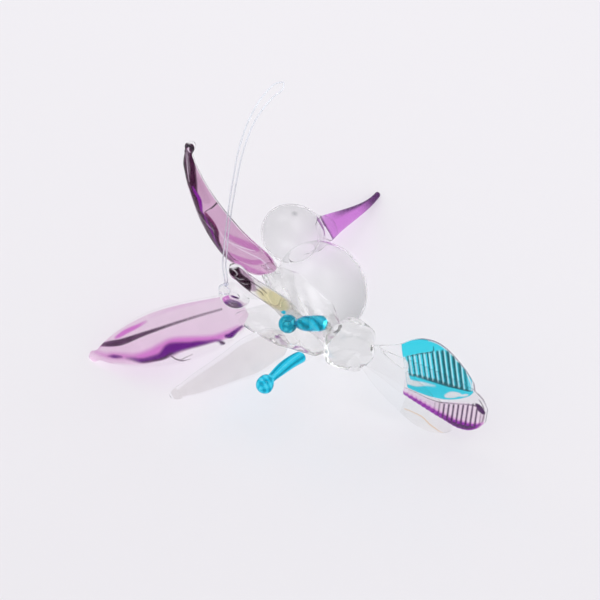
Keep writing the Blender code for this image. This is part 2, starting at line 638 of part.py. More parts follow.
def build():
    """Make every piece, seat it on its neighbours and lay the bird on the table."""
    for item in list(bpy.data.objects):
        bpy.data.objects.remove(item)
    parts = new_collection("hummingbird_ornament")
    cutters = new_collection("cutters")
    bird = bpy.data.objects.new("bird", None)
    parts.objects.link(bird)
    clear = glass("clear_glass", CLEAR)
    purple = glass("purple_glass", PURPLE)
    cyan = glass("cyan_glass", CYAN)
    straw = glass("straw_glass", STRAW)
    nylon = glass("nylon_line", NYLON)

    solids = [make_body(parts, bird, clear), make_head(parts, cutters, bird, clear)]
    beak = make_beak(parts, bird, purple)
    seat = body_cutter(cutters, bird)
    knot = knot_solid("rump_knot", 0.0, clear, bird, parts)
    knot_seat = knot_solid("knot_seat", GAP, None, bird, cutters)
    boolean(knot, seat, "DIFFERENCE")
    eye = make_eye(parts, cutters, bird, clear)
    boolean(eye, seat, "DIFFERENCE")
    solids += [beak, knot, eye]

    feet = [beak]
    for side_name, side in SIDES.items():
        root = loft(f"wing_root_{side_name}", root_rings(side, 0.0), clear, bird, parts)
        root_seat = loft(f"root_seat_{side_name}", root_rings(side, GAP), None, bird, cutters)
        boolean(root, seat, "DIFFERENCE")
        boolean(root, knot_seat, "DIFFERENCE")
        primary = loft(f"primary_feather_{side_name}", feather_rings(PRIMARY, side_name), purple, bird, parts)
        secondary = loft(f"secondary_feather_{side_name}", feather_rings(SECONDARY, side_name),
                         straw, bird, parts)
        tertiary = make_tertiary(f"tertiary_feather_{side_name}", side_name, parts, bird, cyan)
        for feather in (primary, secondary, tertiary):
            boolean(feather, root_seat, "DIFFERENCE")
        boolean(tertiary, seat, "DIFFERENCE")
        boolean(tertiary, knot_seat, "DIFFERENCE")
        solids += [root, primary, secondary, tertiary]
        if side_name == "left":
            feet.append(primary)

    for name, colour in (("right", cyan), ("middle", purple), ("left", straw)):
        feather = TAIL_FEATHERS[name]
        first, last = feather["outline"][0][0] * MM, feather["outline"][-1][0] * MM
        root = loft(f"tail_root_{name}", tail_rings(feather, first, feather["seam"] - GAP, False),
                    clear, bird, parts)
        boolean(root, knot_seat, "DIFFERENCE")
        blade = loft(f"tail_feather_{name}", tail_rings(feather, feather["seam"], last, True),
                     colour, bird, parts)
        solids += [root, blade]
        if name == "left":
            feet.append(blade)

    make_hitch(parts, bird, nylon)
    line_knot = make_line_knot(parts, bird, nylon)
    rest_on_table(bird, feet, solids)
    points = loop_points()
    loop = rod("thread_loop", points, [LINE_DIAMETER / 2] * len(points), nylon, None, parts, resolution=2)
    loop.location = line_knot.matrix_world.translation


build()
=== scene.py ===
import math

import bpy
import numpy as np
from mathutils import Matrix


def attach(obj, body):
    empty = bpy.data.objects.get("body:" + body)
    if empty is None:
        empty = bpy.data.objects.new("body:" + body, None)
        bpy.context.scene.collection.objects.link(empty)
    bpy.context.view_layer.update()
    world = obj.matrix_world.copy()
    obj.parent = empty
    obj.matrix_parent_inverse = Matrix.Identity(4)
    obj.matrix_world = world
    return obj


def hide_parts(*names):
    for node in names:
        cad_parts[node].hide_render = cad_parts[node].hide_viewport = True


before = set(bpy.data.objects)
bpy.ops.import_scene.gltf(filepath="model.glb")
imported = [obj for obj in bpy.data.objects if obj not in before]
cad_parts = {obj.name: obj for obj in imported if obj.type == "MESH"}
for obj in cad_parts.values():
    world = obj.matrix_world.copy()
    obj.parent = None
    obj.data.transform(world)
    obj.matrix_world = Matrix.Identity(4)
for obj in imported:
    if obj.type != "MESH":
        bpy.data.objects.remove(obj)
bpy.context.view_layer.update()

# Camera. A long lens above the table sees the whole bird and its loop, as the photograph does. Places on the
# table are in metres. The bird's own measures are in millimetres, with +X to its head and +Y to its left.
MM = 0.001
CAMERA_PLACE = (0.00184, -0.20414, 0.43877)
CAMERA_RIGHT = (0.9946, 0.0956, 0.0449)
CAMERA_BACK = (0.0, -0.4249, 0.9052)
LENS = 94.5
SENSOR = 36.0


def unit(ways):
    """Directions brought to a length of one."""
    return ways / np.linalg.norm(ways, axis=-1, keepdims=True)


def stand(name, data, place, right, back):
    """Stand a camera or lamp in the scene, its own X to the right and its Z to the back of what it faces."""
    turn = np.eye(4)
    right, back = unit(np.array([right, back]))
    turn[:3, :3] = np.stack([right, np.cross(back, right), back], axis=1)
    turn[:3, 3] = place
    thing = bpy.data.objects.new(name, data)
    bpy.context.scene.collection.objects.link(thing)
    thing.matrix_world = Matrix(turn.tolist())
    return thing


camera_data = bpy.data.cameras.new("camera")
camera_data.lens = LENS
camera_data.sensor_width = SENSOR
bpy.context.scene.camera = stand("camera", camera_data, CAMERA_PLACE, CAMERA_RIGHT, CAMERA_BACK)
bpy.context.scene.view_settings.view_transform = "Standard"

# Nylon line. One length of clear monofilament, turned once round the hanging eye, knotted there and doubled
# into the loop that the bird hangs by. It leans on the right wing and is stiff enough to stand off it.
AHEAD, LEFT, UP = np.eye(3)
LINE_DIAMETER = 0.4
LINE_SIDES = 14
LOOP_START = np.array([-0.0193834, -0.0129909, 0.0368383])
# Places on the route from its start, and half the distance between the loop's strands there, in millimetres
LOOP_ROUTE = [
    (0.0, -0.2, 1.08, 0.3), (0.1, -0.8, 4.0, 0.36), (-0.1, -0.8, 7.4, 0.4), (-0.5, -0.3, 11.4, 0.42),
    (-0.5, 0.6, 15.4, 0.42), (-0.4, 1.8, 19.8, 0.42), (-0.3, 3.1, 23.8, 0.42), (-0.1, 4.6, 27.7, 0.42),
    (0.3, 7.0, 33.6, 0.44), (1.0, 11.6, 40.9, 0.5), (1.8, 16.7, 46.1, 0.6), (4.2, 24.5, 50.7, 0.8),
    (7.6, 30.8, 52.2, 1.1), (10.2, 34.4, 51.8, 0.95)]
LOOP_FACE = np.array([0.0, -0.42, 0.91])
LOOP_BIGHT = 0.28                   # reach of the bight past the route, in the route's last step
TUBE_POINTS = 320
HITCH_POINTS = 72
KNOT_POINTS = 120
BIRD_TURN = np.array([[-0.4616916, -0.2793447, -0.841907], [0.8683155, -0.3363118, -0.3645854],
                      [-0.1812983, -0.8993668, 0.3978316]])
RUMP_PLACE = np.array([0.0174048, -0.0231339, 0.0266196])
EYE_MIDDLE = np.array([21.5, 0.0, 28.9])
EYE_ROD = 2.9
EYE_BORE = 3.4
HITCH_TURN = math.radians(45.0)
HITCH_SPREAD = 0.28                 # of the line's two ends along the eye's rod
HITCH_CLEARANCE = 0.03              # between the line and the eye's rod
HITCH_OPENING = 0.12                # radians left open between the turn's two ends, on each side
KNOT_SIZE = 0.205                   # of the trefoil that the knot's line follows


def hermite(t, start, start_slope, end, end_slope):
    """A cubic curve from start to end as t goes from 0 to 1, with a given slope at each end."""
    return ((2 * t**3 - 3 * t**2 + 1) * start + (t**3 - 2 * t**2 + t) * start_slope
            + (3 * t**2 - 2 * t**3) * end + (t**3 - t**2) * end_slope)


def read_table(rows, at):
    """Read a table at places: a cubic curve through its rows, keyed by their first column."""
    rows = np.array(rows, dtype=float)
    keys, values = rows[:, 0], rows[:, 1:]
    slopes = np.gradient(values, keys, axis=0)
    index = np.clip(np.searchsorted(keys, at) - 1, 0, len(keys) - 2)
    span = (keys[index + 1] - keys[index])[..., None]
    return hermite((at - keys[index])[..., None] / span, values[index], span * slopes[index],
                   values[index + 1], span * slopes[index + 1])


def full_turn(count):
    """Angles evenly round a whole turn, the last one a step short of the first."""
    return np.linspace(0.0, 2 * math.pi, count, endpoint=False)


def lay_down(places):
    """Turn places in the bird's own millimetres into metres on the table."""
    return places @ (BIRD_TURN.T * MM) + RUMP_PLACE


def loop_line(count):
    """The loop's line: the middle route shifted aside by half the strands' distance, up one side and down the
    other round the bight, read at places that crowd together at the bight."""
    rows = np.array(LOOP_ROUTE) * MM
    middle = rows[:, :3]
    aside = unit(np.cross(np.gradient(middle, axis=0), LOOP_FACE)) * rows[:, 3:]
    bight = middle[-1] + (middle[-1] - middle[-2]) * LOOP_BIGHT
    chosen = np.vstack([middle - aside, bight, (middle + aside)[::-1]])
    length = np.concatenate([[0.0], np.cumsum(np.linalg.norm(np.diff(chosen, axis=0), axis=1))])
    ease = np.linspace(-1.0, 1.0, count)
    return LOOP_START + read_table(np.column_stack([length, chosen]),
                                   length[-1] / 2 * (1 + ease * np.abs(ease)**0.5))


def hitch_line(count):
    """The turn round the eye's rod: a circle that snugly clears the rod, its two ends spread
    along the rod."""
    out = math.cos(HITCH_TURN) * AHEAD + math.sin(HITCH_TURN) * UP
    along = math.cos(HITCH_TURN) * UP - math.sin(HITCH_TURN) * AHEAD
    middle = EYE_MIDDLE + out * (EYE_BORE + EYE_ROD) / 2
    radius = (EYE_ROD + LINE_DIAMETER) / 2 + HITCH_CLEARANCE
    angle = np.linspace(-math.pi / 2 + HITCH_OPENING, 1.5 * math.pi - HITCH_OPENING, count)[:, None]
    spread = HITCH_SPREAD * np.linspace(-1.0, 1.0, count)[:, None]
    turn = radius * (out * np.cos(angle) + LEFT * np.sin(angle))
    return lay_down(middle + turn + along * spread), BIRD_TURN @ along


def knot_line(count):
    """The pulled-tight knot: a trefoil, (sin t + 2 sin 2t, cos t - 2 cos 2t, -sin 3t) times its size."""
    t = full_turn(count)
    line = np.stack([np.sin(t) + 2 * np.sin(2 * t), np.cos(t) - 2 * np.cos(2 * t), -np.sin(3 * t)], axis=-1)
    return LOOP_START + line * KNOT_SIZE * MM


def line_rings(path, upward, closed=False):
    """Circles of the line's size carried along a path: each is the path's place plus the radius times
    (cos a, sin a) along the two directions square to the path, the first of them also square to upward."""
    way = (np.roll(path, -1, axis=0) - np.roll(path, 1, axis=0)) if closed else np.gradient(path, axis=0)
    first = unit(np.cross(way, upward))
    second = unit(np.cross(first, way))
    angle = full_turn(LINE_SIDES)[None, :, None]
    ring = first[:, None] * np.cos(angle) + second[:, None] * np.sin(angle)
    return path[:, None] + LINE_DIAMETER / 2 * MM * ring


def make_piece(name, rings, finish, slot, *nodes, closed=False, traits=None):
    """Skin rings of places, given along by around in metres, with a pole at each end or, if closed,
    with the last ring joined to the first. The faces are turned outwards by the sign of the volume
    that they enclose."""
    along, around = rings.shape[:2]
    index = np.arange(along * around).reshape(along, around)
    ahead = np.roll(index, -1, axis=0) if closed else index[1:]
    behind = index if closed else index[:-1]
    faces = np.stack([behind, np.roll(behind, -1, axis=1), np.roll(ahead, -1, axis=1), ahead],
                     axis=-1).reshape(-1, 4)
    places = rings.reshape(-1, 3)
    corners = [faces]
    if not closed:
        places = np.vstack([places, rings[0].mean(axis=0), rings[-1].mean(axis=0)])
        pole = np.full(around, along * around)
        corners.append(np.stack([np.roll(index[0], -1), index[0], pole], axis=-1))
        corners.append(np.stack([index[-1], np.roll(index[-1], -1), pole + 1], axis=-1))
    a, b, c, d = (places[faces[:, i]] for i in range(4))
    volume = np.einsum("ij,ij->", a, np.cross(b, c)) + np.einsum("ij,ij->", a, np.cross(c, d))
    if volume < 0:
        corners = [block[:, ::-1] for block in corners]
    mesh = bpy.data.meshes.new(name)
    mesh.from_pydata(places.tolist(), [], [face for block in corners for face in block.tolist()])
    mesh.polygons.foreach_set("use_smooth", np.ones(len(mesh.polygons), dtype=bool))
    for label, values in (traits or {}).items():
        values = np.broadcast_to(values, (along, around))
        if not closed:
            values = np.concatenate([values.ravel(), [values[0].mean(), values[-1].mean()]])
        attribute = mesh.attributes.new(label, "FLOAT", "POINT")
        attribute.data.foreach_set("value", np.ascontiguousarray(values, dtype=np.float32).ravel())
    mesh.materials.append(finish)
    piece = bpy.data.objects.new(name, mesh)
    bpy.context.scene.collection.objects.link(piece)
    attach(piece, "root")
    if nodes:
        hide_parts(*nodes)
    return piece


def new_finish(name):
    """An empty node material and its node tree."""
    material = bpy.data.materials.new(name)
    material.use_nodes = True
    material.node_tree.nodes.clear()
    return material, material.node_tree


def add_node(tree, kind, output, sockets=None, **settings):
    """Add a shader node and give the output asked for. A socket takes a number, a colour or a node's
    output."""
    node = tree.nodes.new(f"ShaderNode{kind}")
    for setting, value in settings.items():
        setattr(node, setting, value)
    for socket, value in (sockets or {}).items():
        if isinstance(value, bpy.types.NodeSocket):
            tree.links.new(value, node.inputs[socket])
        else:
            node.inputs[socket].default_value = (*value, 1.0) if isinstance(value, tuple) else value
    return node.outputs[output] if output else None


def mix_tint(tree, share, first, second, **settings):
    """Colour that goes over from the first to the second by a share."""
    return add_node(tree, "Mix", "Result", data_type="RGBA", **settings,
                    sockets={"Factor": share, "A": first, "B": second})


def cloudy_tint(tree, scale, tint, other_tint, detail=2.0, distortion=0.0):
    """Colour that drifts between two tints by a noise that is fixed in the object, and the noise itself."""
    place = add_node(tree, "TexCoord", "Object")
    noise = add_node(tree, "TexNoise", "Fac", {"Vector": place, "Scale": scale, "Detail": detail,
                                               "Distortion": distortion})
    return mix_tint(tree, noise, tint, other_tint), noise


def let_lamps_through(tree, shader, tint):
    """Show the shader to everything but the lamps' own rays, which a clear film of the tint lets through."""
    film = add_node(tree, "BsdfTransparent", "BSDF", {"Color": tint})
    lamp_ray = add_node(tree, "LightPath", "Is Shadow Ray")
    shown = add_node(tree, "MixShader", "Shader", {"Fac": lamp_ray, 1: shader, 2: film})
    add_node(tree, "OutputMaterial", None, {"Surface": shown})


def nylon_finish():
    """Drawn nylon: clear and a little milky, its gloss dulled here and there."""
    material, tree = new_finish("nylon_monofilament")
    tint, noise = cloudy_tint(tree, 900.0, (0.93, 0.95, 0.98), (0.80, 0.83, 0.90))
    dullness = add_node(tree, "MapRange", "Result", {"Value": noise, "To Min": 0.08, "To Max": 0.22})
    shader = add_node(tree, "BsdfPrincipled", "BSDF", {"Base Color": tint, "Roughness": dullness, "IOR": 1.53,
                                                       "Transmission Weight": 0.75})
    let_lamps_through(tree, shader, (0.80, 0.82, 0.86))
    return material


def make_line(name, path, upward, node, closed=False):
    """One stretch of the nylon line."""
    return make_piece(name, line_rings(path, upward, closed), nylon, "nylon_line", node, closed=closed)


nylon = nylon_finish()
line_loop = make_line("nylon_loop", loop_line(TUBE_POINTS), LOOP_FACE, "thread_loop")
line_hitch = make_line("nylon_hitch", *hitch_line(HITCH_POINTS), "thread_hitch")
line_knot = make_line("nylon_knot", knot_line(KNOT_POINTS), UP, "thread_knot", closed=True)

# Table and light. A pale seamless sheet, a broad soft lamp overhead, a smaller one behind it to the left, and
# a white room that is greyer near the table, which draws the grey edges in the clear glass.
TABLE_REACH = 3.0
TABLE_COLOUR = (0.836, 0.818, 0.855)
# Heights in the room, as shares from straight down to straight up, and the grey of its walls there
ROOM_BANDS = [(0.0, 0.60), (0.5, 0.55), (0.60, 0.42), (0.72, 0.62), (0.86, 0.82), (1.0, 0.86)]
# Each lamp's name, place, width and power
LAMPS = [("broad_lamp", (0.25, 0.15, 0.95), 0.75, 2.9), ("window_lamp", (-0.45, 0.42, 0.62), 0.35, 0.8)]
LIGHT_PATHS = {"max_bounces": 32, "glossy_bounces": 16, "transmission_bounces": 24,
               "transparent_max_bounces": 32}


def dimmed(colour, share):
    """A colour at a share of its brightness."""
    return tuple(share * part for part in colour)


def table_finish():
    """Matt card: one pale colour with the faintest cloudiness."""
    material, tree = new_finish("pale_card")
    tint, _ = cloudy_tint(tree, 4.0, TABLE_COLOUR, dimmed(TABLE_COLOUR, 0.985))
    shader = add_node(tree, "BsdfPrincipled", "BSDF", {"Base Color": tint, "Roughness": 0.9,
                                                       "Specular IOR Level": 0.1})
    add_node(tree, "OutputMaterial", None, {"Surface": shader})
    return material


table_mesh = bpy.data.meshes.new("table")
table_corners = [(x * TABLE_REACH, y * TABLE_REACH, 0.0) for x, y in ((-1, -1), (1, -1), (1, 1), (-1, 1))]
table_mesh.from_pydata(table_corners, [], [(0, 1, 2, 3)])
table_mesh.materials.append(table_finish())
table = bpy.data.objects.new("table", table_mesh)
bpy.context.scene.collection.objects.link(table)

room = bpy.data.worlds.new("room")
room.use_nodes = True
bpy.context.scene.world = room
room_tree = room.node_tree
room_tree.nodes.clear()
room_way = add_node(room_tree, "TexCoord", "Generated")
room_height = add_node(room_tree, "SeparateXYZ", "Z", {0: room_way})
room_share = add_node(room_tree, "MapRange", "Result", {"Value": room_height, "From Min": -1.0})
room_greys = room_tree.nodes.new("ShaderNodeValToRGB")
room_tree.links.new(room_share, room_greys.inputs["Fac"])
while len(room_greys.color_ramp.elements) < len(ROOM_BANDS):
    room_greys.color_ramp.elements.new(0.5)
for element, (height, grey) in zip(room_greys.color_ramp.elements, ROOM_BANDS):
    element.position = height
    element.color = (grey, grey, grey, 1.0)
room_light = add_node(room_tree, "Background", "Background", {"Color": room_greys.outputs["Color"]})
add_node(room_tree, "OutputWorld", None, {"Surface": room_light})
for path_name, path_count in LIGHT_PATHS.items():
    setattr(bpy.context.scene.cycles, path_name, path_count)

for lamp_name, lamp_place, lamp_width, lamp_power in LAMPS:
    lamp_data = bpy.data.lights.new(lamp_name, "AREA")
    lamp_data.shape = "SQUARE"
    lamp_data.size = lamp_width
    lamp_data.energy = lamp_power
    stand(lamp_name, lamp_data, lamp_place, np.cross((0.0, 1.0, 0.0), lamp_place), lamp_place)

# Body. A thin egg blown from clear tube, open to the head at its neck. Its wall is a little uneven, as blown
# glass is, and other pieces are fused on where the "fused" attribute is above nought.
EGG_MIDDLE = np.array([21.3, 0.0, 0.0])
EGG_HALF = 15.0
EGG_RADIUS = 13.3
EGG_WALL = 0.5
EGG_STEPS = 70
EGG_THINNING = 0.7                  # radians from the neck over which the wall grows from nothing
EGG_SWELL = 0.004                   # height of the slow wave in the egg's radius
POLE = 0.02                         # radians left open at a pole, for its closing fan
NECK_RADIUS = 4.2
NECK_TURN = math.asin(NECK_RADIUS / EGG_RADIUS)
NECK_PLACE = EGG_MIDDLE[0] + EGG_HALF * math.cos(NECK_TURN)
BULB_SIDES = 112
SINK = 0.4                          # of a piece into the one that it is fused to


def trait(tree, name):
    """What a piece's attribute says."""
    return add_node(tree, "Attribute", "Fac", attribute_name=name)


def fired_glass(name, tint, ripple, bend, gloss, haze=0.02, scale=170.0, painted_shade_tint=None):
    """Clear worked glass: a faint uneven tint, a slow ripple in its face, and no face where it is fused. It
    goes over to the painted shade tint by the "thick" attribute, which holds painted shade, and past it above
    one. Thin clear skins bend light less than they mirror it, so the gloss is laid on as a coat."""
    material, tree = new_finish(name)
    colour, noise = cloudy_tint(tree, scale, tint, dimmed(tint, 0.97), detail=1.0, distortion=0.6)
    # Painted shade: the "thick" attribute darkens the tint towards the painted shade tint.
    if painted_shade_tint:
        colour = mix_tint(tree, trait(tree, "thick"), colour, painted_shade_tint, clamp_factor=False)
    bump = add_node(tree, "Bump", "Normal", {"Height": noise, "Strength": 1.0, "Distance": ripple * MM})
    glass = add_node(tree, "BsdfPrincipled", "BSDF", {
        "Base Color": colour, "Normal": bump, "Transmission Weight": 1.0, "IOR": bend, "Roughness": 0.0,
        "Coat Weight": gloss, "Coat Roughness": haze})
    inside = add_node(tree, "Math", "Value", {0: trait(tree, "fused"), 1: 0.0}, operation="GREATER_THAN")
    nothing = add_node(tree, "BsdfTransparent", "BSDF")
    joined = add_node(tree, "MixShader", "Shader", {"Fac": inside, 1: glass, 2: nothing})
    let_lamps_through(tree, joined, tuple(part**0.5 for part in tint))
    return material


def smooth(t):
    """A share from 0 to 1, eased at both ends: 3 t squared less 2 t cubed."""
    return t**2 * (3 - 2 * t)


def within_egg(places):
    """Depth in millimetres under the egg's outer face, measured from its middle."""
    offset = places - EGG_MIDDLE
    reach = np.sqrt((offset[..., 0] / EGG_HALF)**2 + (offset[..., 1]**2 + offset[..., 2]**2) / EGG_RADIUS**2)
    return (1 - reach) / np.maximum(reach, 1e-6) * np.linalg.norm(offset, axis=-1)


def push_out(places, middle, depth, sink):
    """Push places out, straight from a middle, until none lies deeper than sink."""
    offset = places - middle
    length = np.linalg.norm(offset, axis=-1, keepdims=True)
    return places + offset / np.maximum(length, 1e-6) * np.maximum(depth[..., None] - sink, 0.0)


def seat_on_egg(places):
    """Keep places from sinking into the egg."""
    return push_out(places, EGG_MIDDLE, within_egg(places), SINK)


def fuse(piece, depth):
    """Raise the piece's "fused" attribute to depth, a function of its corners in the bird's millimetres."""
    mesh = piece.data
    corners = np.empty(len(mesh.vertices) * 3, dtype=np.float32)
    mesh.vertices.foreach_get("co", corners)
    places = (corners.reshape(-1, 3).astype(float) - RUMP_PLACE) @ BIRD_TURN / MM
    attribute = mesh.attributes["fused"]
    held = np.empty(len(mesh.vertices), dtype=np.float32)
    attribute.data.foreach_get("value", held)
    attribute.data.foreach_set("value", np.maximum(held, depth(places)).astype(np.float32))


def egg_rings():
    """The egg's wall as one turned profile: from its rear pole forward inside, where the wall thins
    smoothly to nothing at the neck, and back outside, with the radius swollen by a slow wave round
    and along it."""
    turn = np.linspace(NECK_TURN, math.pi - POLE, EGG_STEPS)
    thinned = np.clip((turn[::-1] - NECK_TURN) / EGG_THINNING, 0.01, 1.0)
    wall = np.concatenate([EGG_WALL * smooth(thinned), np.zeros(EGG_STEPS)])
    turn = np.concatenate([turn[::-1], turn])
    along = (EGG_MIDDLE[0] + (EGG_HALF - wall) * np.cos(turn))[:, None]
    radii = ((EGG_RADIUS - wall) * np.sin(turn))[:, None]
    angle = full_turn(BULB_SIDES)
    swollen = radii * (1 + EGG_SWELL * np.sin(3 * angle + along * 0.3) * np.sin(along * 0.35))
    return np.stack(np.broadcast_arrays(along, swollen * np.cos(angle), swollen * np.sin(angle)), axis=-1)


def egg_painted_shade(places):
    """Painted shade, as the "thick" attribute: most at the rear and a little more underneath."""
    weight = 0.28 - 1.1 * (places[..., 0] - EGG_MIDDLE[0]) / EGG_HALF - 0.1 * places[..., 2] / EGG_RADIUS
    return smooth(np.clip(weight, 0.0, 1.0))


blown = fired_glass("blown_clear_glass", (0.978, 0.98, 0.98), 0.003, 1.03, 0.5, haze=0.35,
                    painted_shade_tint=(0.82, 0.824, 0.825))
egg = egg_rings()
# The body's "thick" attribute is painted shade, darker towards the rear and underneath.
body = make_piece("body_bulb_glass", lay_down(egg), blown, "clear_glass", "body_bulb",
                  traits={"fused": -1.0, "thick": egg_painted_shade(egg)})

# Head. A clear ball blown on the same tube, drawn down into a short muzzle that turns solid where the beak is
# fused on. It is open to the body at the neck.
HEAD_RADIUS = 9.2
HEAD_WALL = 0.5
HEAD_GAP = 0.3                      # between the egg's rim and the ball's
HEAD_STEPS = 56
HEAD_THINNING = 18                  # circles from the neck over which the wall grows from nothing
HEAD_SHADE = 0.3                   # even painted shade over the head
BEAK_PITCH = math.radians(63.0)
BEAK_RADIUS = 4.0
MUZZLE_REACH = 12.2
MUZZLE_DROP = 5.0
MUZZLE_SOLID = 4.6
MUZZLE_TURN = math.radians(36.0)
MUZZLE_END_SLOPE = 0.12
MUZZLE_WALL = 0.15                  # at the solid end
CAP_RADII = np.array([0.85, 0.45, 0.04])        # circles that close an end, in its radius
CAP_REACH = np.array([[0.25], [0.6], [0.9]])    # how far each stands out from the hollow's end
SHADE_SPOT_PLACE = np.array([-0.3, -8.8, 2.5])      # a grey spot of painted shade in the wall, from the ball's middle
SHADE_SPOT_SIZE = 0.75
SHADE_SPOT_DEPTH = 3.0
FUSED = 0.05                        # of the "fused" attribute, where a whole end is fused on

head_middle = (NECK_PLACE + HEAD_GAP + math.sqrt(HEAD_RADIUS**2 - NECK_RADIUS**2)) * AHEAD
beak_way = math.cos(BEAK_PITCH) * AHEAD - math.sin(BEAK_PITCH) * UP
throat_way = -math.sin(BEAK_PITCH) * AHEAD - math.cos(BEAK_PITCH) * UP


def head_wall(radius, reach, end_radius):
    """One face of the head: circles that a fan of planes cuts from a ball, turning from square to the neck to
    square to the beak, and then circles along the beak whose radius falls off smoothly to the muzzle's end.
    It gives their middles, their ways down and their radii."""
    leave = radius * math.sin(MUZZLE_TURN)
    start = -math.sqrt(radius**2 - NECK_RADIUS**2)
    span = reach - leave
    ball = np.linspace(start, leave, HEAD_STEPS)
    muzzle = np.linspace(leave, reach, HEAD_STEPS // 2)[1:]
    taper = hermite((muzzle - leave) / span, radius * math.cos(MUZZLE_TURN), -span * math.tan(MUZZLE_TURN),
                    end_radius, -span * MUZZLE_END_SLOPE)
    along = np.concatenate([ball, muzzle])[:, None]
    pitch = BEAK_PITCH * np.clip((along - start) / (leave - start), 0.0, 1.0)
    way = np.cos(pitch) * AHEAD - np.sin(pitch) * UP
    down = -np.sin(pitch) * AHEAD - np.cos(pitch) * UP
    drop = MUZZLE_DROP * smooth(np.clip(along / MUZZLE_REACH, 0.0, 1.0))
    radii = np.concatenate([np.sqrt(radius**2 - ball**2), taper])
    return head_middle + way * along + throat_way * drop, down, radii[:, None]


def head_rings():
    """The head's wall in one run: from the solid muzzle back inside to the neck, where the wall thins
    smoothly to nothing, and forward outside to the muzzle's end."""
    outer = head_wall(HEAD_RADIUS, MUZZLE_REACH, BEAK_RADIUS)
    inner = head_wall(HEAD_RADIUS - HEAD_WALL, MUZZLE_REACH - MUZZLE_SOLID, BEAK_RADIUS - MUZZLE_WALL)
    share = smooth(np.clip(np.arange(len(inner[2])) / HEAD_THINNING, 0.01, 1.0))[:, None]
    inner = [part * share + whole * (1 - share) for part, whole in zip(inner, outer)]
    middle, down, radii = (np.concatenate([np.repeat(part[-1:], 3, axis=0), part[::-1], whole,
                                           np.repeat(whole[-1:], 3, axis=0)])
                           for part, whole in zip(inner, outer))
    middle[:3] += beak_way * CAP_REACH[::-1]
    radii[:3] *= CAP_RADII[::-1, None]
    radii[-3:] *= CAP_RADII[:, None]
    angle = full_turn(BULB_SIDES)[None, :, None]
    return middle[:, None] + radii[:, None] * (down[:, None] * np.cos(angle) + LEFT * np.sin(angle))


head = head_rings()
head_fused = np.full((len(head), 1), -1.0)
head_fused[-3:] = FUSED
shade_spot_away = np.linalg.norm(head - head_middle - SHADE_SPOT_PLACE, axis=-1) / SHADE_SPOT_SIZE
# The head's "thick" attribute is painted shade: even over the head, and deeper in one grey spot.
make_piece("head_bulb_glass", lay_down(head), blown, "clear_glass", "head_bulb",
           traits={"fused": head_fused, "thick": HEAD_SHADE + SHADE_SPOT_DEPTH * np.exp(-shade_spot_away**2)})

# Beak. A purple rod fused to the muzzle and drawn out hot to a blunt tip, with a slight bow to the
# throat. The colour is held in a clear skin and is darker towards the tip, and painted shade darkens one
# side.
BEAK_LENGTH = 28.0
BEAK_TIP_RADIUS = 0.95
BEAK_BOW = 0.9
BEAK_STEPS = 90
BEAK_SIDES = 64
START_RADII = np.array([0.04, 0.50, 0.80, 0.92])    # circles that close the start, in its radius
TIP_STEPS = 7
TIP_REACH = 0.75                    # of the rounded tip, in its radius
PURPLE = (0.76, 0.30, 0.82)
DEEP_PURPLE_AND_SHADE = (0.11, 0.04, 0.15)
PAINTED_SHADE_SIDE = math.radians(200.0)   # round the beak, the side that painted shade darkens
BEAK_CUT = (-0.33, 0.92)            # slant of the colour's start: its lead at the throat and at the left side
BEAK_CUT_LENGTH = 0.3               # share of the beak over which the circles come square again
COLOUR_START = -0.03                # of the colour, as a share of the beak's length
CORE_WIDTH = 0.93                   # share of a piece's own width that its colour takes


def colour_core(name, pale, streaks, cloud=0.10, sheet=None, film=0.3):
    """Coloured glass inside clear glass, which it neither bends nor mirrors: a pale ground, and over it, in
    turn, each streak's colour by the strength that its attribute holds, all a little cloudy. In a thin
    sheet the whole colour, raised to the power of sheet, lies on the upper face, and the under face is
    clear. Lamplight comes through it in the colour raised to the power of film."""
    material, tree = new_finish(name)
    colour, _ = cloudy_tint(tree, 260.0, pale, dimmed(pale, 1 - cloud), distortion=1.0)
    for streak, streak_colour in streaks.items():
        colour = mix_tint(tree, trait(tree, streak), colour, streak_colour)
    if sheet:
        upper = add_node(tree, "Gamma", "Color", {"Color": colour, "Gamma": sheet})
        colour = mix_tint(tree, trait(tree, "under"), upper, (0.99, 0.99, 0.99))
    shader = add_node(tree, "BsdfPrincipled", "BSDF", {
        "Base Color": colour, "Transmission Weight": 1.0, "IOR": 1.0, "Roughness": 0.0,
        "Specular IOR Level": 0.0})
    shade = add_node(tree, "Gamma", "Color", {"Color": colour, "Gamma": film})
    let_lamps_through(tree, shader, shade)
    return material


def beak_rings(shrink, start, slant=0.0):
    """Circles along the beak, and each one's share s of its length: the radius falls as (1 - s) to the
    power 1.5 and the line bows as 6.75 s squared (1 - s). The start is closed by circles in its own plane,
    which leans by the slant, and the tip is rounded off."""
    seat = head_middle + beak_way * MUZZLE_REACH + throat_way * MUZZLE_DROP
    s = np.concatenate([np.full(len(START_RADII), start), np.linspace(start, 1.0, BEAK_STEPS),
                        np.ones(TIP_STEPS)])[:, None]
    radii = BEAK_TIP_RADIUS + (BEAK_RADIUS - BEAK_TIP_RADIUS) * np.maximum(1 - s, 0.0)**1.5
    radii[:len(START_RADII)] *= START_RADII[:, None]
    round_off = np.linspace(0.0, math.pi / 2 - 0.05, TIP_STEPS + 1)[1:, None]
    radii[-TIP_STEPS:] *= np.cos(round_off)
    line = seat + beak_way * (BEAK_LENGTH * s) + throat_way * (BEAK_BOW * 6.75 * s**2 * (1 - s))
    line[-TIP_STEPS:] += beak_way * (np.sin(round_off) * BEAK_TIP_RADIUS * TIP_REACH)
    angle = full_turn(BEAK_SIDES)[None, :, None]
    lean = slant * np.clip(1 - (s - start) / BEAK_CUT_LENGTH, 0.0, 1.0)[:, None]
    ring = (throat_way * np.cos(angle) + LEFT * np.sin(angle)
            + beak_way * lean * (BEAK_CUT[0] * np.cos(angle) + BEAK_CUT[1] * np.sin(angle)))
    return line[:, None] + (radii * shrink)[:, None] * ring, s


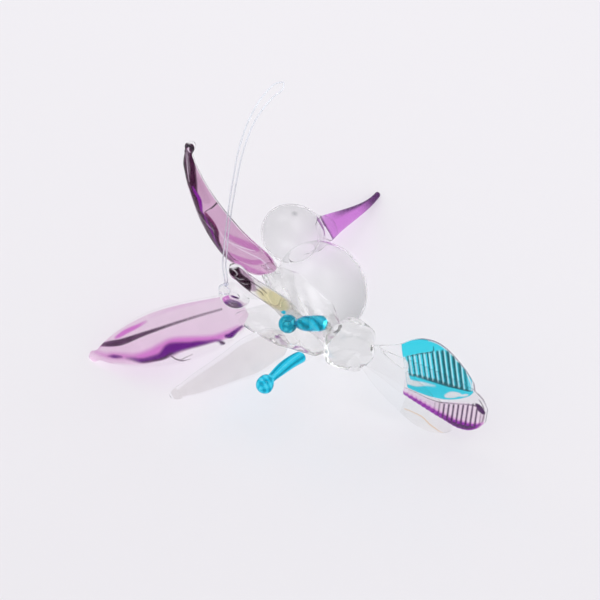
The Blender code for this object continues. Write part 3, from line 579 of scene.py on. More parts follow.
def beak_depth(s):
    """How much of the deep purple shows: as painted shade on one side past the beak's start, over its last
    third, and in a thin band where the colour starts."""
    around = full_turn(BEAK_SIDES)[None, :]
    painted_shade = np.clip(np.cos(around - PAINTED_SHADE_SIDE) * 2.2 - 0.55, 0.0, 0.9) * np.clip(s * 4 - 0.6, 0.0, 1.0)
    tip = np.clip(s * 3.2 - 1.9, 0.0, 0.9)
    band = np.clip(1.2 - (s - COLOUR_START) * BEAK_LENGTH / 0.7, 0.0, 0.8)
    return np.maximum(np.maximum(painted_shade, tip), band)


clear_skin = fired_glass("clear_casing_glass", (0.99, 0.99, 0.99), 0.03, 1.06, 0.22)
beak_skin, beak_share = beak_rings(1.0, 0.0)
make_piece("beak_glass", lay_down(beak_skin), clear_skin, "purple_glass", "beak",
           traits={"fused": np.where(beak_share < 0.001, FUSED, -1.0)})
beak_heart, beak_share = beak_rings(CORE_WIDTH, COLOUR_START, 1.0)
beak_purple = colour_core("beak_purple", PURPLE, {"deep": DEEP_PURPLE_AND_SHADE}, film=0.03)
# The "deep" attribute holds the darker purple towards the tip and painted shade on one side.
make_piece("beak_core", lay_down(beak_heart), beak_purple, "purple_glass",
           traits={"deep": beak_depth(beak_share)})

# Rump knot. A solid clear gather behind the body, which the tail and the wing roots are fused to as well.
# It is still lumpy from the folds of glass that it was built up from, and painted shade greys their valleys.
RUMP_RADIUS = 7.7
RUMP_LUMP = 0.05
RUMP_FOLD = 0.022
RUMP_STEPS = 110
RUMP_SIDES = 160
VALLEY_SHADE = 0.75


def rump_wave(x, around):
    """The folds' wave, which winds round the gather and wavers: their valleys lie where it is nought."""
    return np.abs(np.sin(2.5 * around + 5.5 * x + 1.2 * np.sin(3 * x + around)))


def rump_reach(way):
    """The gather's radius in a direction: 1 plus two slow lumps round it, and finer folds that
    wind round it."""
    x, around = way[..., 0], np.arctan2(way[..., 2], way[..., 1])
    lump = 1 + RUMP_LUMP * (np.sin(3 * around + 4 * x) + 0.8 * np.sin(2 * around - 7 * x))
    fold = RUMP_FOLD * (1 - x**2) * rump_wave(x, around)
    return RUMP_RADIUS * (lump + fold - RUMP_FOLD / 2)


def rump_valley_shade(way):
    """Painted shade in a direction: grey lines in the folds' valleys, deeper on some sides."""
    x, around = way[..., 0], np.arctan2(way[..., 2], way[..., 1])
    return (VALLEY_SHADE * (1 - rump_wave(x, around))**5 * (1 - x**2)
            * (0.55 + 0.45 * np.sin(2 * around - 4 * x + 1)))


def within_rump(places):
    """Depth in millimetres under the gather's face."""
    length = np.linalg.norm(places, axis=-1)
    return rump_reach(places / np.maximum(length, 1e-6)[..., None]) - length


def seat_on_rump(places, sink=SINK):
    """Keep places from sinking into the gather."""
    return push_out(places, np.zeros(3), within_rump(places), sink)


def rump_rings():
    """A ball of latitude circles about the bird's long axis, each place out at the gather's radius."""
    polar = np.linspace(POLE, math.pi - POLE, RUMP_STEPS)[:, None]
    angle = full_turn(RUMP_SIDES)[None, :]
    way = np.stack(np.broadcast_arrays(np.cos(polar), np.sin(polar) * np.cos(angle),
                                       np.sin(polar) * np.sin(angle)), axis=-1)
    return seat_on_egg(way * rump_reach(way)[..., None])


gathered = fired_glass("gathered_clear_glass", (0.88, 0.883, 0.877), 0.16, 1.22, 0.8, haze=0.06, scale=330.0,
                       painted_shade_tint=(0.50, 0.52, 0.52))
rump_places = rump_rings()
# The rump's "thick" attribute is painted shade in its folds' valleys.
rump = make_piece("rump_knot_glass", lay_down(rump_places), gathered, "clear_glass", "rump_knot",
                  traits={"fused": within_egg(rump_places), "thick": rump_valley_shade(unit(rump_places))})
fuse(body, within_rump)

# Hanging eye. A clear drawn rod bent into a ring, which stands on a short stalk. The stalk is fused to the
# bird's back and flares into it, and the ring is fused on top.
STALK_RADIUS = 2.3
STALK_NARROWING = 0.95
STALK_TOP = EYE_MIDDLE[2] - EYE_BORE / 2 - EYE_ROD
STALK_STEPS = 40
ROD_SIDES = 48
RING_STEPS = 120
RING_RADIUS = (EYE_BORE + EYE_ROD) / 2


def eye_rings():
    """A ring of circles about the eye's bore, in the bird's middle plane."""
    angle = full_turn(RING_STEPS)[:, None, None]
    turn = full_turn(ROD_SIDES)[None, :, None]
    out = np.cos(angle) * AHEAD + np.sin(angle) * UP
    return EYE_MIDDLE + out * (RING_RADIUS + EYE_ROD / 2 * np.cos(turn)) + LEFT * EYE_ROD / 2 * np.sin(turn)


def within_ring(places):
    """Depth in millimetres under the ring's face."""
    offset = places - EYE_MIDDLE
    return EYE_ROD / 2 - np.hypot(np.hypot(offset[..., 0], offset[..., 2]) - RING_RADIUS, offset[..., 1])


def stalk_reach(height):
    """The stalk's radius at a height above the bird's axis: it flares into the back and into the ring."""
    t = np.clip((height - EGG_RADIUS) / (STALK_TOP - EGG_RADIUS), -0.2, 1.2)
    return STALK_RADIUS - STALK_NARROWING * t + 7.2 * np.clip(0.35 - t, 0.0, 1.0)**2


def within_stalk(places):
    """Depth in millimetres under the stalk's face."""
    return stalk_reach(places[..., 2]) - np.hypot(places[..., 0] - EYE_MIDDLE[0], places[..., 1])


def stalk_rings():
    """Level circles up the stalk, from just inside the back to just inside the ring."""
    height = np.linspace(EGG_RADIUS - 1.2, STALK_TOP + 0.9, STALK_STEPS)[:, None]
    angle = full_turn(ROD_SIDES)
    radii = stalk_reach(height)
    return seat_on_egg(np.stack(np.broadcast_arrays(
        EYE_MIDDLE[0] + radii * np.cos(angle), radii * np.sin(angle), height), axis=-1))


drawn_clear = fired_glass("drawn_clear_glass", (0.968, 0.97, 0.968), 0.04, 1.10, 1.0, scale=330.0)
eye_places = eye_rings()
under_bore = eye_places[..., 2] < EYE_MIDDLE[2] - EYE_BORE / 2
make_piece("hang_eye_glass", lay_down(eye_places), drawn_clear, "clear_glass", "hang_eye", closed=True,
           traits={"fused": within_stalk(eye_places) * under_bore - 0.001})
stalk_places = stalk_rings()
make_piece("eye_stalk_glass", lay_down(stalk_places), drawn_clear, "clear_glass",
           traits={"fused": np.maximum(within_ring(stalk_places), within_egg(stalk_places))})
fuse(body, lambda places: np.where(places[:, 2] > 8.0, within_stalk(places), -1.0))

# Wing roots. A flattened clear gather on each shoulder, from the body's back up to where the feathers start.
# Both are folded lengthwise, as glass is that was squashed flat while it was hot.
SIDES = {"left": 1.0, "right": -1.0}
ROOT_BASE = np.array([12.3, 5.4, 8.6])
ROOT_TOP = np.array([15.0, 7.9, 21.6])
ROOT_SIZES = [(-0.30, 0.80), (-0.18, 0.90), (0.0, 1.0), (0.25, 1.0), (0.5, 1.0), (0.72, 1.0), (0.88, 0.97),
              (0.98, 0.86), (1.04, 0.62), (1.075, 0.30), (1.085, 0.05)]
ROOT_LENGTHS = (21.5, 20.0)
ROOT_THICKNESSES = (6.0, 4.4)
ROOT_TOP_WAY = np.array([math.cos(math.radians(17.0)) * math.cos(math.radians(22.0)),
                         math.cos(math.radians(17.0)) * math.sin(math.radians(22.0)),
                         math.sin(math.radians(17.0))])
ROOT_FOLD = 0.22                    # depth of the folds
ROOT_STEPS = (70, 30)               # along the root's climb, and over its rounded top
ROOT_SIDES = 128


def on_side(places, side):
    """Places of the left side as they are, or their mirror image on the right."""
    return places * np.array([1.0, SIDES[side], 1.0])


def root_frame(t):
    """The root's directions and half sizes at a share of its climb: the long way leans from straight ahead to
    the top's way, and the thin way is square to it and to the climb."""
    share = np.clip(t, 0.0, 1.0)[..., None]
    way = unit(AHEAD * (1 - share) + ROOT_TOP_WAY * share)
    across = unit(np.cross(ROOT_TOP - ROOT_BASE, way))
    size = read_table(ROOT_SIZES, np.clip(t, ROOT_SIZES[0][0], ROOT_SIZES[-1][0]))[..., 0]
    share = share[..., 0]
    half = (ROOT_LENGTHS[0] + (ROOT_LENGTHS[1] - ROOT_LENGTHS[0]) * share) / 2 * (0.4 + 0.6 * size)
    thin = (ROOT_THICKNESSES[0] + (ROOT_THICKNESSES[1] - ROOT_THICKNESSES[0]) * share) / 2 * size
    return way, across, half, thin


def within_root(side):
    """A function of places that gives the depth in millimetres under that side's root, by its thin way."""
    def depth(places):
        local = on_side(places, side) - ROOT_BASE
        climb = ROOT_TOP - ROOT_BASE
        t = local @ climb / (climb @ climb)
        for _ in range(2):
            way, across, half, thin = root_frame(t)
            normal = np.cross(way, across)
            t = np.einsum("...i,...i->...", local, normal) / (normal @ climb)
        way, across, half, thin = root_frame(t)
        offset = local - climb * t[..., None]
        reach = np.hypot(np.einsum("...i,...i->...", offset, way) / half,
                         np.einsum("...i,...i->...", offset, across) / np.maximum(thin, 0.05))
        return np.where((t > ROOT_SIZES[0][0]) & (t < ROOT_SIZES[-1][0]), (1 - reach) * thin, -1.0)
    return depth


def root_rings(side):
    """Ovals up the climb, with shallow folds that run along them and fade at their ends."""
    start, end = ROOT_SIZES[0][0], ROOT_SIZES[-1][0]
    t = np.concatenate([np.linspace(start, 0.9, ROOT_STEPS[0]),
                        np.linspace(0.9, end, ROOT_STEPS[1])[1:]])[:, None]
    way, across, half, thin = root_frame(t[:, 0])
    half, thin = half[:, None], thin[:, None]
    angle = full_turn(ROOT_SIDES)[None, :]
    fold = (ROOT_FOLD * np.sin(angle)**2 * np.sin(t * 17.0 + 1.5 * np.cos(angle))
            * np.clip(thin / 2.0, 0.0, 1.0))
    middle = ROOT_BASE + (ROOT_TOP - ROOT_BASE) * t
    rings = (middle[:, None] + way[:, None] * (half * np.cos(angle))[..., None]
             + across[:, None] * ((thin + fold) * np.sin(angle))[..., None])
    return seat_on_rump(seat_on_egg(on_side(rings, side)))


roots = {}
for side in SIDES:
    root_places = root_rings(side)
    roots[side] = make_piece(f"wing_root_{side}_glass", lay_down(root_places), gathered, "clear_glass",
                             f"wing_root_{side}",
                             traits={"fused": np.maximum(within_egg(root_places), within_rump(root_places))})
    fuse(body, within_root(side))
    fuse(rump, within_root(side))

# Primary feathers. Two long blades, flattened, bowed and twisted while hot, each drawn off in a ball at its
# tip. A sheet of purple runs through the clear glass, with darker streaks where more colour was laid on, and
# on the right one painted highlights and painted edge shade.
CORE_THICKNESS = 0.35               # share of a blade's own thickness that the colour takes
# Each outline's rows: place along the feather, half its width, half its thickness, and its middle's shift
PRIMARY = {
    "root": np.array([22.7, 10.9, 24.7]), "sweep": math.radians(19.4), "rise": math.radians(41.0),
    "pitch": math.radians(48.7), "bow": 3.7, "twist": math.radians(15.0), "camber": 0.9,
    "left": [(-4.0, 3.2, 1.2, 1.0), (-2.0, 5.7, 1.7, 0.8), (2.0, 7.2, 1.8, 0.3), (8.0, 8.4, 1.7, 0.2),
             (15.0, 9.0, 1.5, 0.3), (22.0, 8.8, 1.4, 0.3), (30.0, 7.4, 1.3, 0.2), (37.0, 5.3, 1.2, 0.1),
             (42.0, 3.2, 1.15, 0.0), (45.2, 1.6, 1.2, 0.0), (46.9, 1.7, 1.6, 0.0), (48.3, 0.7, 0.7, 0.0)],
    "right": [(-4.0, 2.4, 1.2, 0.0), (-2.0, 5.0, 1.8, 0.0), (2.0, 7.0, 1.9, 0.0), (6.0, 7.9, 1.8, 0.1),
              (11.0, 7.6, 1.7, 0.2), (17.5, 6.7, 1.6, 0.3), (23.0, 5.9, 1.5, 0.2), (28.0, 4.9, 1.4, 0.1),
              (33.0, 3.9, 1.4, 0.0), (38.0, 2.9, 1.3, -0.3), (42.5, 2.0, 1.2, -0.9), (44.5, 1.4, 1.2, -1.7),
              (45.5, 1.6, 1.4, -2.6), (46.5, 1.85, 1.6, -3.1), (47.4, 1.5, 1.3, -3.3),
              (47.9, 0.6, 0.6, -3.4)]}
# Each side's ground colour, the power that the sheet raises its colours to, and the colours of its streaks
PRIMARY_LOOKS = {
    "left": {"ground": (0.88, 0.65, 0.82), "sheet": 1.25, "colours": {
        "rose": (0.60, 0.10, 0.54), "clear": (0.96, 0.95, 0.96), "violet": (0.055, 0.002, 0.12),
        "plum": (0.035, 0.012, 0.035)}},
    # On the right, pale is a painted highlight, and smoke is painted shade along the edges and round the tip
    # ball, with a few dark fold lines.
    "right": {"ground": (0.77, 0.50, 0.69), "sheet": 2.0, "colours": {
        "rose": (0.61, 0.24, 0.53), "wine": (0.22, 0.02, 0.14), "plum": (0.055, 0.006, 0.04),
        "violet": (0.25, 0.008, 0.33), "smoke_and_edge_shade": (0.04, 0.035, 0.045), "pale": (0.86, 0.74, 0.86)}}}
# Each streak: its colour, the width of its soft edge, and rows of place along the feather, place aside from
# its middle line, half its width, all in millimetres, and its strength
PRIMARY_STREAKS = {
    "left": [
        ("rose", 0.8, [
            (36.5, 3.9, 0.3, 0.5), (35.2, 4.2, 0.5, 0.9), (31.9, 5.1, 0.6, 1.0), (28.0, 5.8, 0.5, 0.9),
            (24.5, 6.6, 0.3, 0.4)]),
        ("rose", 1.2, [
            (23.0, 7.6, 0.4, 0.08), (14.5, 8.2, 0.5, 0.16), (8.4, 8.0, 0.5, 0.16), (2.8, 6.9, 0.4, 0.1)]),
        ("rose", 1.0, [
            (47.2, 1.2, 0.4, 0.15), (44.5, 2.0, 0.3, 0.4), (42.0, 2.7, 0.5, 0.5), (38.0, 2.4, 1.0, 0.25),
            (33.0, 2.5, 1.0, 0.1)]),
        ("rose", 2.3, [
            (45.2, 1.2, 0.4, 0.5), (41.6, -0.6, 0.6, 0.6), (38.9, -1.2, 0.8, 0.8), (33.1, -2.6, 0.9, 0.6),
            (30.5, -3.4, 1.3, 0.8), (26.9, -3.4, 1.6, 0.8), (22.5, -2.6, 1.8, 0.8),
            (18.5, -2.0, 1.8, 0.9), (13.0, -2.8, 1.4, 0.9), (8.0, -3.9, 1.0, 0.9), (5.0, -4.2, 1.0, 0.8),
            (0.0, -3.9, 0.8, 0.7)]),
        ("clear", 1.2, [
            (40.0, -4.4, 0.8, 1.0), (34.0, -6.3, 1.1, 1.0), (28.9, -8.2, 2.2, 1.0),
            (21.1, -8.6, 2.6, 1.0), (15.0, -8.2, 3.2, 1.0), (9.0, -8.2, 3.0, 1.0), (3.0, -7.4, 1.6, 1.0),
            (-2.0, -5.6, 1.0, 1.0)]),
        ("violet", 0.9, [(41.0, -0.9, 0.2, 0.3), (38.9, -1.4, 0.5, 0.85), (36.5, -2.0, 0.3, 0.5)]),
        ("violet", 1.5, [
            (35.0, -2.7, 0.2, 0.4), (33.1, -3.4, 0.5, 0.7), (30.5, -4.5, 0.7, 0.9),
            (26.9, -4.7, 0.8, 0.9), (23.6, -4.5, 1.0, 1.0), (20.4, -3.3, 1.7, 1.0),
            (17.9, -3.2, 1.4, 1.0), (14.9, -3.6, 1.0, 1.0), (11.8, -4.0, 0.75, 1.0),
            (9.5, -4.4, 0.45, 1.0), (7.2, -4.7, 0.25, 0.9), (6.0, -5.4, 0.35, 0.9), (5.7, -6.3, 0.45, 1.0)]),
        ("violet", 0.8, [
            (3.6, -4.7, 0.5, 1.0), (2.6, -5.0, 0.8, 1.0), (1.2, -4.5, 0.6, 0.9), (-0.2, -4.0, 0.4, 0.8),
            (-1.7, -3.6, 0.3, 0.7)]),
        ("rose", 0.7, [(1.2, 7.0, 0.3, 0.7), (0.2, 6.4, 0.5, 0.9), (-0.9, 5.6, 0.7, 1.0)]),
        ("violet", 0.6, [
            (-1.1, 5.5, 0.5, 0.8), (-1.9, 4.9, 1.1, 1.0), (-2.6, 4.1, 1.1, 1.0), (-3.2, 3.4, 0.6, 1.0)]),
        ("plum", 0.6, [(-1.5, 5.1, 0.3, 0.7), (-2.1, 4.6, 0.8, 0.9), (-2.8, 3.9, 0.7, 0.9)]),
        ("plum", 0.5, [
            (30.5, -5.0, 0.25, 0.5), (26.9, -5.3, 0.3, 0.7), (23.6, -5.4, 0.35, 0.8),
            (20.4, -4.4, 0.3, 0.7)]),
        ("plum", 0.4, [
            (20.9, -5.5, 0.2, 0.8), (19.9, -6.9, 0.22, 0.9), (18.2, -7.9, 0.2, 0.9),
            (16.2, -8.1, 0.15, 0.6)]),
        ("plum", 0.4, [(19.3, -7.4, 0.15, 0.6), (16.9, -7.0, 0.12, 0.5), (14.9, -6.7, 0.1, 0.4)]),
        ("plum", 0.4, [(5.9, -5.8, 0.25, 0.8), (5.4, -6.6, 0.35, 0.9)]),
        ("plum", 0.5, [
            (43.0, 2.7, 0.2, 0.4), (41.0, 2.7, 0.6, 0.8), (38.0, 2.5, 0.85, 1.0), (35.0, 2.35, 0.9, 1.0),
            (31.3, 2.7, 0.8, 1.0), (27.0, 3.2, 0.6, 1.0), (22.0, 3.6, 0.48, 0.9), (15.0, 4.0, 0.4, 0.8),
            (8.0, 4.0, 0.35, 0.7), (1.9, 3.6, 0.3, 0.6)])],
    "right": [
        ("rose", 1.6, [
            (18.0, -1.6, 0.6, 0.5), (16.0, -2.4, 1.1, 0.8), (13.5, -4.4, 1.3, 0.9), (10.4, -6.0, 1.2, 1.0)]),
        ("rose", 1.4, [
            (9.0, 3.0, 0.6, 0.7), (6.5, 0.9, 1.2, 1.0), (4.6, -1.6, 1.3, 1.0), (4.4, -4.0, 0.9, 0.9)]),
        ("rose", 2.0, [(8.0, 5.4, 1.2, 0.9), (3.0, 3.0, 1.6, 0.8), (-2.0, 0.0, 1.6, 0.7)]),
        ("wine", 0.5, [
            (43.0, -1.2, 0.2, 0.7), (40.0, -0.2, 0.35, 0.9), (37.0, 0.4, 0.4, 0.9), (34.5, 1.2, 0.3, 0.9)]),
        ("wine", 0.9, [
            (25.5, 1.1, 0.5, 0.9), (23.0, 0.9, 0.9, 1.0), (20.0, 1.3, 1.0, 1.0), (17.0, 2.7, 0.8, 1.0),
            (13.0, 4.6, 0.5, 0.9), (9.5, 5.0, 0.4, 0.7)]),
        ("wine", 0.5, [(24.0, 4.0, 0.25, 0.7), (20.5, 4.6, 0.3, 0.8), (17.0, 5.2, 0.25, 0.8)]),
        ("plum", 1.0, [
            (47.5, -3.0, 2.2, 0.75), (45.9, -2.9, 2.0, 0.8), (42.8, -1.5, 1.7, 0.85),
            (39.9, -0.6, 1.7, 0.9), (36.6, 0.4, 1.7, 0.92), (34.1, 1.4, 1.6, 0.92),
            (31.0, 2.2, 1.4, 0.92), (28.0, 3.2, 1.4, 0.85), (25.0, 4.0, 1.4, 0.8)]),
        ("plum", 0.3, [
            (14.0, 3.4, 0.1, 0.5), (10.5, 4.5, 0.15, 0.8), (7.5, 5.0, 0.22, 0.9), (5.0, 4.4, 0.12, 0.6)]),
        ("plum", 0.3, [(10.5, 3.0, 0.1, 0.4), (8.0, 3.5, 0.15, 0.7), (5.6, 3.1, 0.12, 0.6)]),
        ("wine", 1.4, [(40.0, -1.4, 0.5, 0.12), (36.0, -1.6, 1.2, 0.14), (31.0, -1.4, 1.8, 0.08)]),
        ("plum", 0.7, [
            (26.0, 3.7, 1.2, 0.85), (23.0, 3.3, 2.0, 0.95), (20.0, 3.3, 2.3, 1.0), (17.0, 4.3, 1.9, 1.0),
            (14.1, 5.2, 1.6, 1.0), (10.6, 6.0, 1.1, 1.0), (7.1, 6.3, 0.8, 0.95), (4.6, 5.2, 0.4, 0.7)]),
        ("plum", 0.35, [
            (24.0, 1.0, 0.12, 0.8), (21.0, 1.6, 0.2, 0.9), (18.0, 2.8, 0.16, 0.9), (15.0, 4.0, 0.14, 0.9)]),
        ("plum", 0.35, [
            (21.5, 0.2, 0.1, 0.6), (18.5, 0.9, 0.14, 0.8), (15.5, 2.9, 0.12, 0.8), (12.0, 3.9, 0.12, 0.8)]),
        ("violet", 0.5, [
            (34.5, 0.9, 0.3, 0.7), (33.2, 0.8, 0.6, 0.9), (31.0, 0.6, 0.7, 1.0), (29.1, 1.1, 0.6, 1.0),
            (26.5, 2.2, 0.4, 0.9), (25.0, 2.4, 0.2, 0.6)]),
        # Painted highlights: the pale streaks here and below.
        ("pale", 0.35, [
            (20.3, -0.1, 0.12, 0.4), (15.6, 0.3, 0.2, 0.9), (12.4, -2.5, 0.22, 0.9), (9.6, -5.6, 0.2, 0.8)]),
        ("pale", 0.35, [
            (13.4, -0.6, 0.12, 0.5), (11.0, -2.2, 0.2, 0.8), (8.1, -3.9, 0.22, 0.9),
            (5.5, -5.0, 0.2, 0.9), (2.1, -4.7, 0.2, 0.8), (-2.1, -3.3, 0.15, 0.6)]),
        ("pale", 0.4, [(46.9, -3.5, 0.15, 0.5), (46.3, -3.0, 0.25, 0.8), (45.6, -3.2, 0.15, 0.5)]),
        ("pale", 0.3, [
            (44.2, -1.4, 0.1, 0.4), (41.5, -0.3, 0.14, 0.6), (38.5, 0.7, 0.14, 0.6), (36.0, 1.6, 0.1, 0.4)]),
        ("pale", 0.3, [(25.0, 4.6, 0.1, 0.5), (21.0, 3.3, 0.12, 0.5), (19.0, 2.2, 0.1, 0.5)]),
        ("violet", 0.5, [
            (25.5, 2.2, 0.2, 0.4), (22.5, 2.6, 0.35, 0.5), (19.0, 3.2, 0.4, 0.55), (16.0, 4.2, 0.3, 0.5),
            (12.5, 5.4, 0.25, 0.4), (9.0, 6.0, 0.2, 0.3)]),
        ("pale", 0.3, [
            (25.0, 1.7, 0.06, 0.15), (21.5, 1.7, 0.1, 0.22), (18.5, 2.6, 0.1, 0.25),
            (15.5, 4.0, 0.08, 0.2)]),
        ("pale", 0.3, [
            (23.5, 4.3, 0.06, 0.15), (19.5, 4.3, 0.12, 0.22), (16.5, 5.0, 0.1, 0.2),
            (12.0, 6.2, 0.08, 0.2)]),
        ("pale", 0.6, [
            (46.2, -2.6, 0.3, 0.1), (43.6, -1.2, 0.5, 0.16), (41.0, -0.6, 0.5, 0.12),
            (38.5, 0.2, 0.3, 0.05)]),
        # Painted shade round the tip ball's rim.
        ("smoke_and_edge_shade", 0.3, [
            (44.9, -3.3, 0.2, 0.8), (45.8, -4.2, 0.25, 1.0), (46.8, -4.4, 0.25, 1.0),
            (47.3, -3.4, 0.25, 1.0), (47.0, -2.2, 0.2, 0.9), (46.1, -1.7, 0.2, 0.9)]),
        ("pale", 0.3, [
            (34.0, 3.1, 0.15, 0.7), (31.0, 3.7, 0.2, 0.9), (27.0, 4.5, 0.15, 0.8), (23.0, 5.0, 0.12, 0.7),
            (18.4, 5.7, 0.1, 0.6)]),
        # Painted shade along the blade's outer edge.
        ("smoke_and_edge_shade", 0.35, [
            (45.4, -0.9, 0.4, 0.9), (43.1, 0.5, 0.4, 0.9), (40.9, 1.3, 0.4, 0.95), (37.4, 2.3, 0.4, 0.95),
            (34.1, 3.6, 0.35, 0.9), (29.8, 4.5, 0.4, 0.85), (25.0, 5.4, 0.4, 0.85),
            (21.3, 5.9, 0.35, 0.85), (16.6, 6.6, 0.3, 0.85), (12.8, 7.0, 0.28, 0.85),
            (8.5, 7.2, 0.22, 0.8), (6.0, 7.1, 0.2, 0.7)]),
        ("smoke_and_edge_shade", 0.3, [
            (26.4, 0.7, 0.12, 0.7), (27.2, -0.9, 0.1, 0.6), (27.8, -2.3, 0.16, 0.9),
            (29.0, -4.2, 0.18, 1.0)]),
        ("smoke_and_edge_shade", 0.3, [(10.5, 3.9, 0.12, 0.6), (6.4, 4.0, 0.15, 0.7), (5.3, 2.3, 0.12, 0.5)]),
        ("smoke_and_edge_shade", 0.3, [
            (5.7, 6.3, 0.15, 0.6), (2.4, 4.5, 0.15, 0.6), (-1.7, 1.7, 0.12, 0.6), (-2.4, -0.8, 0.12, 0.6)])]}


def blade_frame(feather, side, place):
    """A feather at places along it: its middle, its two ways across, its half width and thickness, and its
    way along. The blade's face turns evenly about the line that it follows, and its middle bows as a
    parabola, most halfway along."""
    flat = math.cos(feather["sweep"])
    along = np.array([math.sin(feather["sweep"]), flat * math.cos(feather["rise"]),
                      flat * math.sin(feather["rise"])])
    back = unit(along * along[0] - AHEAD)
    half, thin, shift = np.moveaxis(read_table(feather[side], place)[..., None], -2, 0)
    t = (place / feather[side][-1][0])[..., None]
    turn = feather["pitch"] + feather["twist"] * (t - 0.5)
    face = back * np.cos(turn) + np.cross(along, back) * np.sin(turn)
    chord = np.cross(along, face)
    middle = (feather["root"] + along * place[..., None] + chord * shift
              + face * (feather["bow"] * 4 * t * (1 - t)))
    return middle, chord, face, half, thin, along


def blade_cup(feather, side, half, share):
    """How far the blade is cupped at a share of its half width: most where it is widest, and nought
    at its edges."""
    widest = max(row[1] for row in feather[side])
    return feather["camber"] * (half / widest) * (1 - share**2)


def blade_rings(feather, side, rows, sides, width=1.0, depth=1.0, short=0.0):
    """Flattened ovals along a feather, cupped by its camber, up to a place short of its tip. Returns them
    with each corner's place along the feather and its place aside from the middle line."""
    outline = feather[side]
    first, last = outline[0][0], outline[-1][0] - short
    place = first + (last - first) * (1 - np.cos(np.linspace(0.0, math.pi, rows))) / 2
    middle, chord, face, half, thin, _ = blade_frame(feather, side, place)
    angle = full_turn(sides)[None, :]
    across = np.cos(angle) * width
    lift = thin * depth * np.sin(angle) + blade_cup(feather, side, half, across)
    rings = middle[:, None] + chord[:, None] * (half * across)[..., None] + face[:, None] * lift[..., None]
    aside = read_table(outline, place)[:, 2:] + half * across
    return on_side(rings, side), np.broadcast_to(place[:, None], aside.shape), aside


def within_blade(feather, side):
    """A function of places that gives the depth in millimetres under a feather, by its thin way."""
    def depth(places):
        local = on_side(places, side)
        along = blade_frame(feather, side, np.zeros(1))[5]
        place = (local - feather["root"]) @ along
        held = np.clip(place, feather[side][0][0], feather[side][-1][0])
        middle, chord, face, half, thin, _ = blade_frame(feather, side, held)
        half, thin, offset = half[..., 0], thin[..., 0], local - middle
        across = np.einsum("...i,...i->...", offset, chord) / half
        cup = blade_cup(feather, side, half, np.clip(across, -1, 1))
        lift = (np.einsum("...i,...i->...", offset, face) - cup) / thin
        return np.where(np.abs(place - held) < 1e-6, (1 - np.hypot(across, lift)) * thin, -1.0)
    return depth


def lay_streaks(streaks, place, aside):
    """The strength of each colour over a feather. A streak's line, half width and strength are curves
    through its rows, and each corner takes the strongest of the line's places: full inside the width, and
    soft over its edge. The under face is marked too, for the sheet's colour lies on the upper one."""
    strengths = {name: np.zeros(place.shape) for name, _, _ in streaks}
    sides = place.shape[1]
    strengths["under"] = np.broadcast_to(np.arange(sides) > sides // 2, place.shape).astype(float)
    for name, soft, rows in streaks:
        count = np.arange(len(rows), dtype=float)
        line = read_table(np.column_stack([count, rows]), np.linspace(0.0, count[-1], 9 * len(rows)))
        away = np.hypot(place[..., None] - line[:, 0], aside[..., None] - line[:, 1])
        edge = smooth(np.clip((line[:, 2] - away) / soft + 0.5, 0.0, 1.0))
        strength = 1 - (1 - line[:, 3] * edge)**2
        strengths[name] = np.maximum(strengths[name], strength.max(axis=-1))
    return strengths


def make_wing_feather(kind, colour, feather, side, look, streaks, glass_grid, core_grid, short):
    """A wing feather of clear glass and, a little shorter inside it, the sheet of colour with its streaks."""
    blade, _, _ = blade_rings(feather, side, *glass_grid)
    make_piece(f"{kind}_feather_{side}_glass", lay_down(blade), clear_skin, f"{colour}_glass",
               f"{kind}_feather_{side}", traits={"fused": within_root(side)(blade)})
    core, place, aside = blade_rings(feather, side, *core_grid, CORE_WIDTH, CORE_THICKNESS, short)
    finish = colour_core(f"{kind}_{colour}_{side}", look["ground"], look["colours"], sheet=look["sheet"])
    make_piece(f"{kind}_feather_{side}_core", lay_down(core), finish, f"{colour}_glass",
               traits=lay_streaks(streaks, place, aside))
    fuse(roots[side], within_blade(feather, side))


for side, look in PRIMARY_LOOKS.items():
    make_wing_feather("primary", "purple", PRIMARY, side, look, PRIMARY_STREAKS[side],
                      glass_grid=(130, 72), core_grid=(360, 180), short=0.3)

# Secondary feathers. Shorter clear blades behind the primaries, drawn in the same way and fused to the same
# roots. They have a breath of straw colour, and the right one ends dark.
SECONDARY = {
    "root": np.array([7.2, 4.9, 19.4]), "sweep": math.radians(2.9), "rise": math.radians(47.7),
    "pitch": math.radians(30.0), "bow": 1.2, "twist": 0.0, "camber": 0.7,
    "left": [(-3.0, 2.6, 1.2, 0.0), (-0.5, 4.8, 1.7, 0.0), (4.0, 6.2, 1.8, 0.0), (8.5, 6.4, 1.6, 0.0),
             (14.0, 5.4, 1.5, 0.0), (20.0, 4.4, 1.4, 0.0), (26.0, 3.3, 1.4, 0.0), (30.0, 2.2, 1.3, 0.0),
             (32.6, 1.7, 1.6, 0.0), (34.2, 0.7, 0.7, 0.0)],
    "right": [(-3.0, 2.6, 1.2, 0.0), (-0.5, 3.4, 1.7, -1.2), (4.0, 2.8, 1.8, -2.8), (8.5, 3.0, 1.6, -3.6),
              (14.0, 3.1, 1.5, -3.7), (18.0, 3.0, 1.4, -3.0), (22.0, 2.8, 1.4, -2.0), (27.0, 2.4, 1.4, -0.8),
              (30.0, 2.2, 1.4, -0.2), (32.6, 2.0, 1.9, 0.0), (34.5, 0.9, 0.9, 0.0)]}
SECONDARY_LOOKS = {
    # The left one's rim is a painted highlight along both edges; on the right one, pale is a painted
    # highlight and smoke is painted shade along its edge.
    "left": {"ground": (0.86, 0.835, 0.825), "sheet": 1.25, "colours": {
        "straw": (0.82, 0.76, 0.46), "rim": (0.995, 0.99, 0.995)}},
    "right": {"ground": (0.92, 0.91, 0.88), "sheet": 2.0, "colours": {
        "straw": (0.82, 0.76, 0.46), "mauve": (0.45, 0.30, 0.42), "plum": (0.03, 0.008, 0.022),
        "smoke_and_edge_shade": (0.03, 0.02, 0.03), "pale": (0.90, 0.86, 0.90), "cyan": (0.02, 0.62, 0.85)}}}
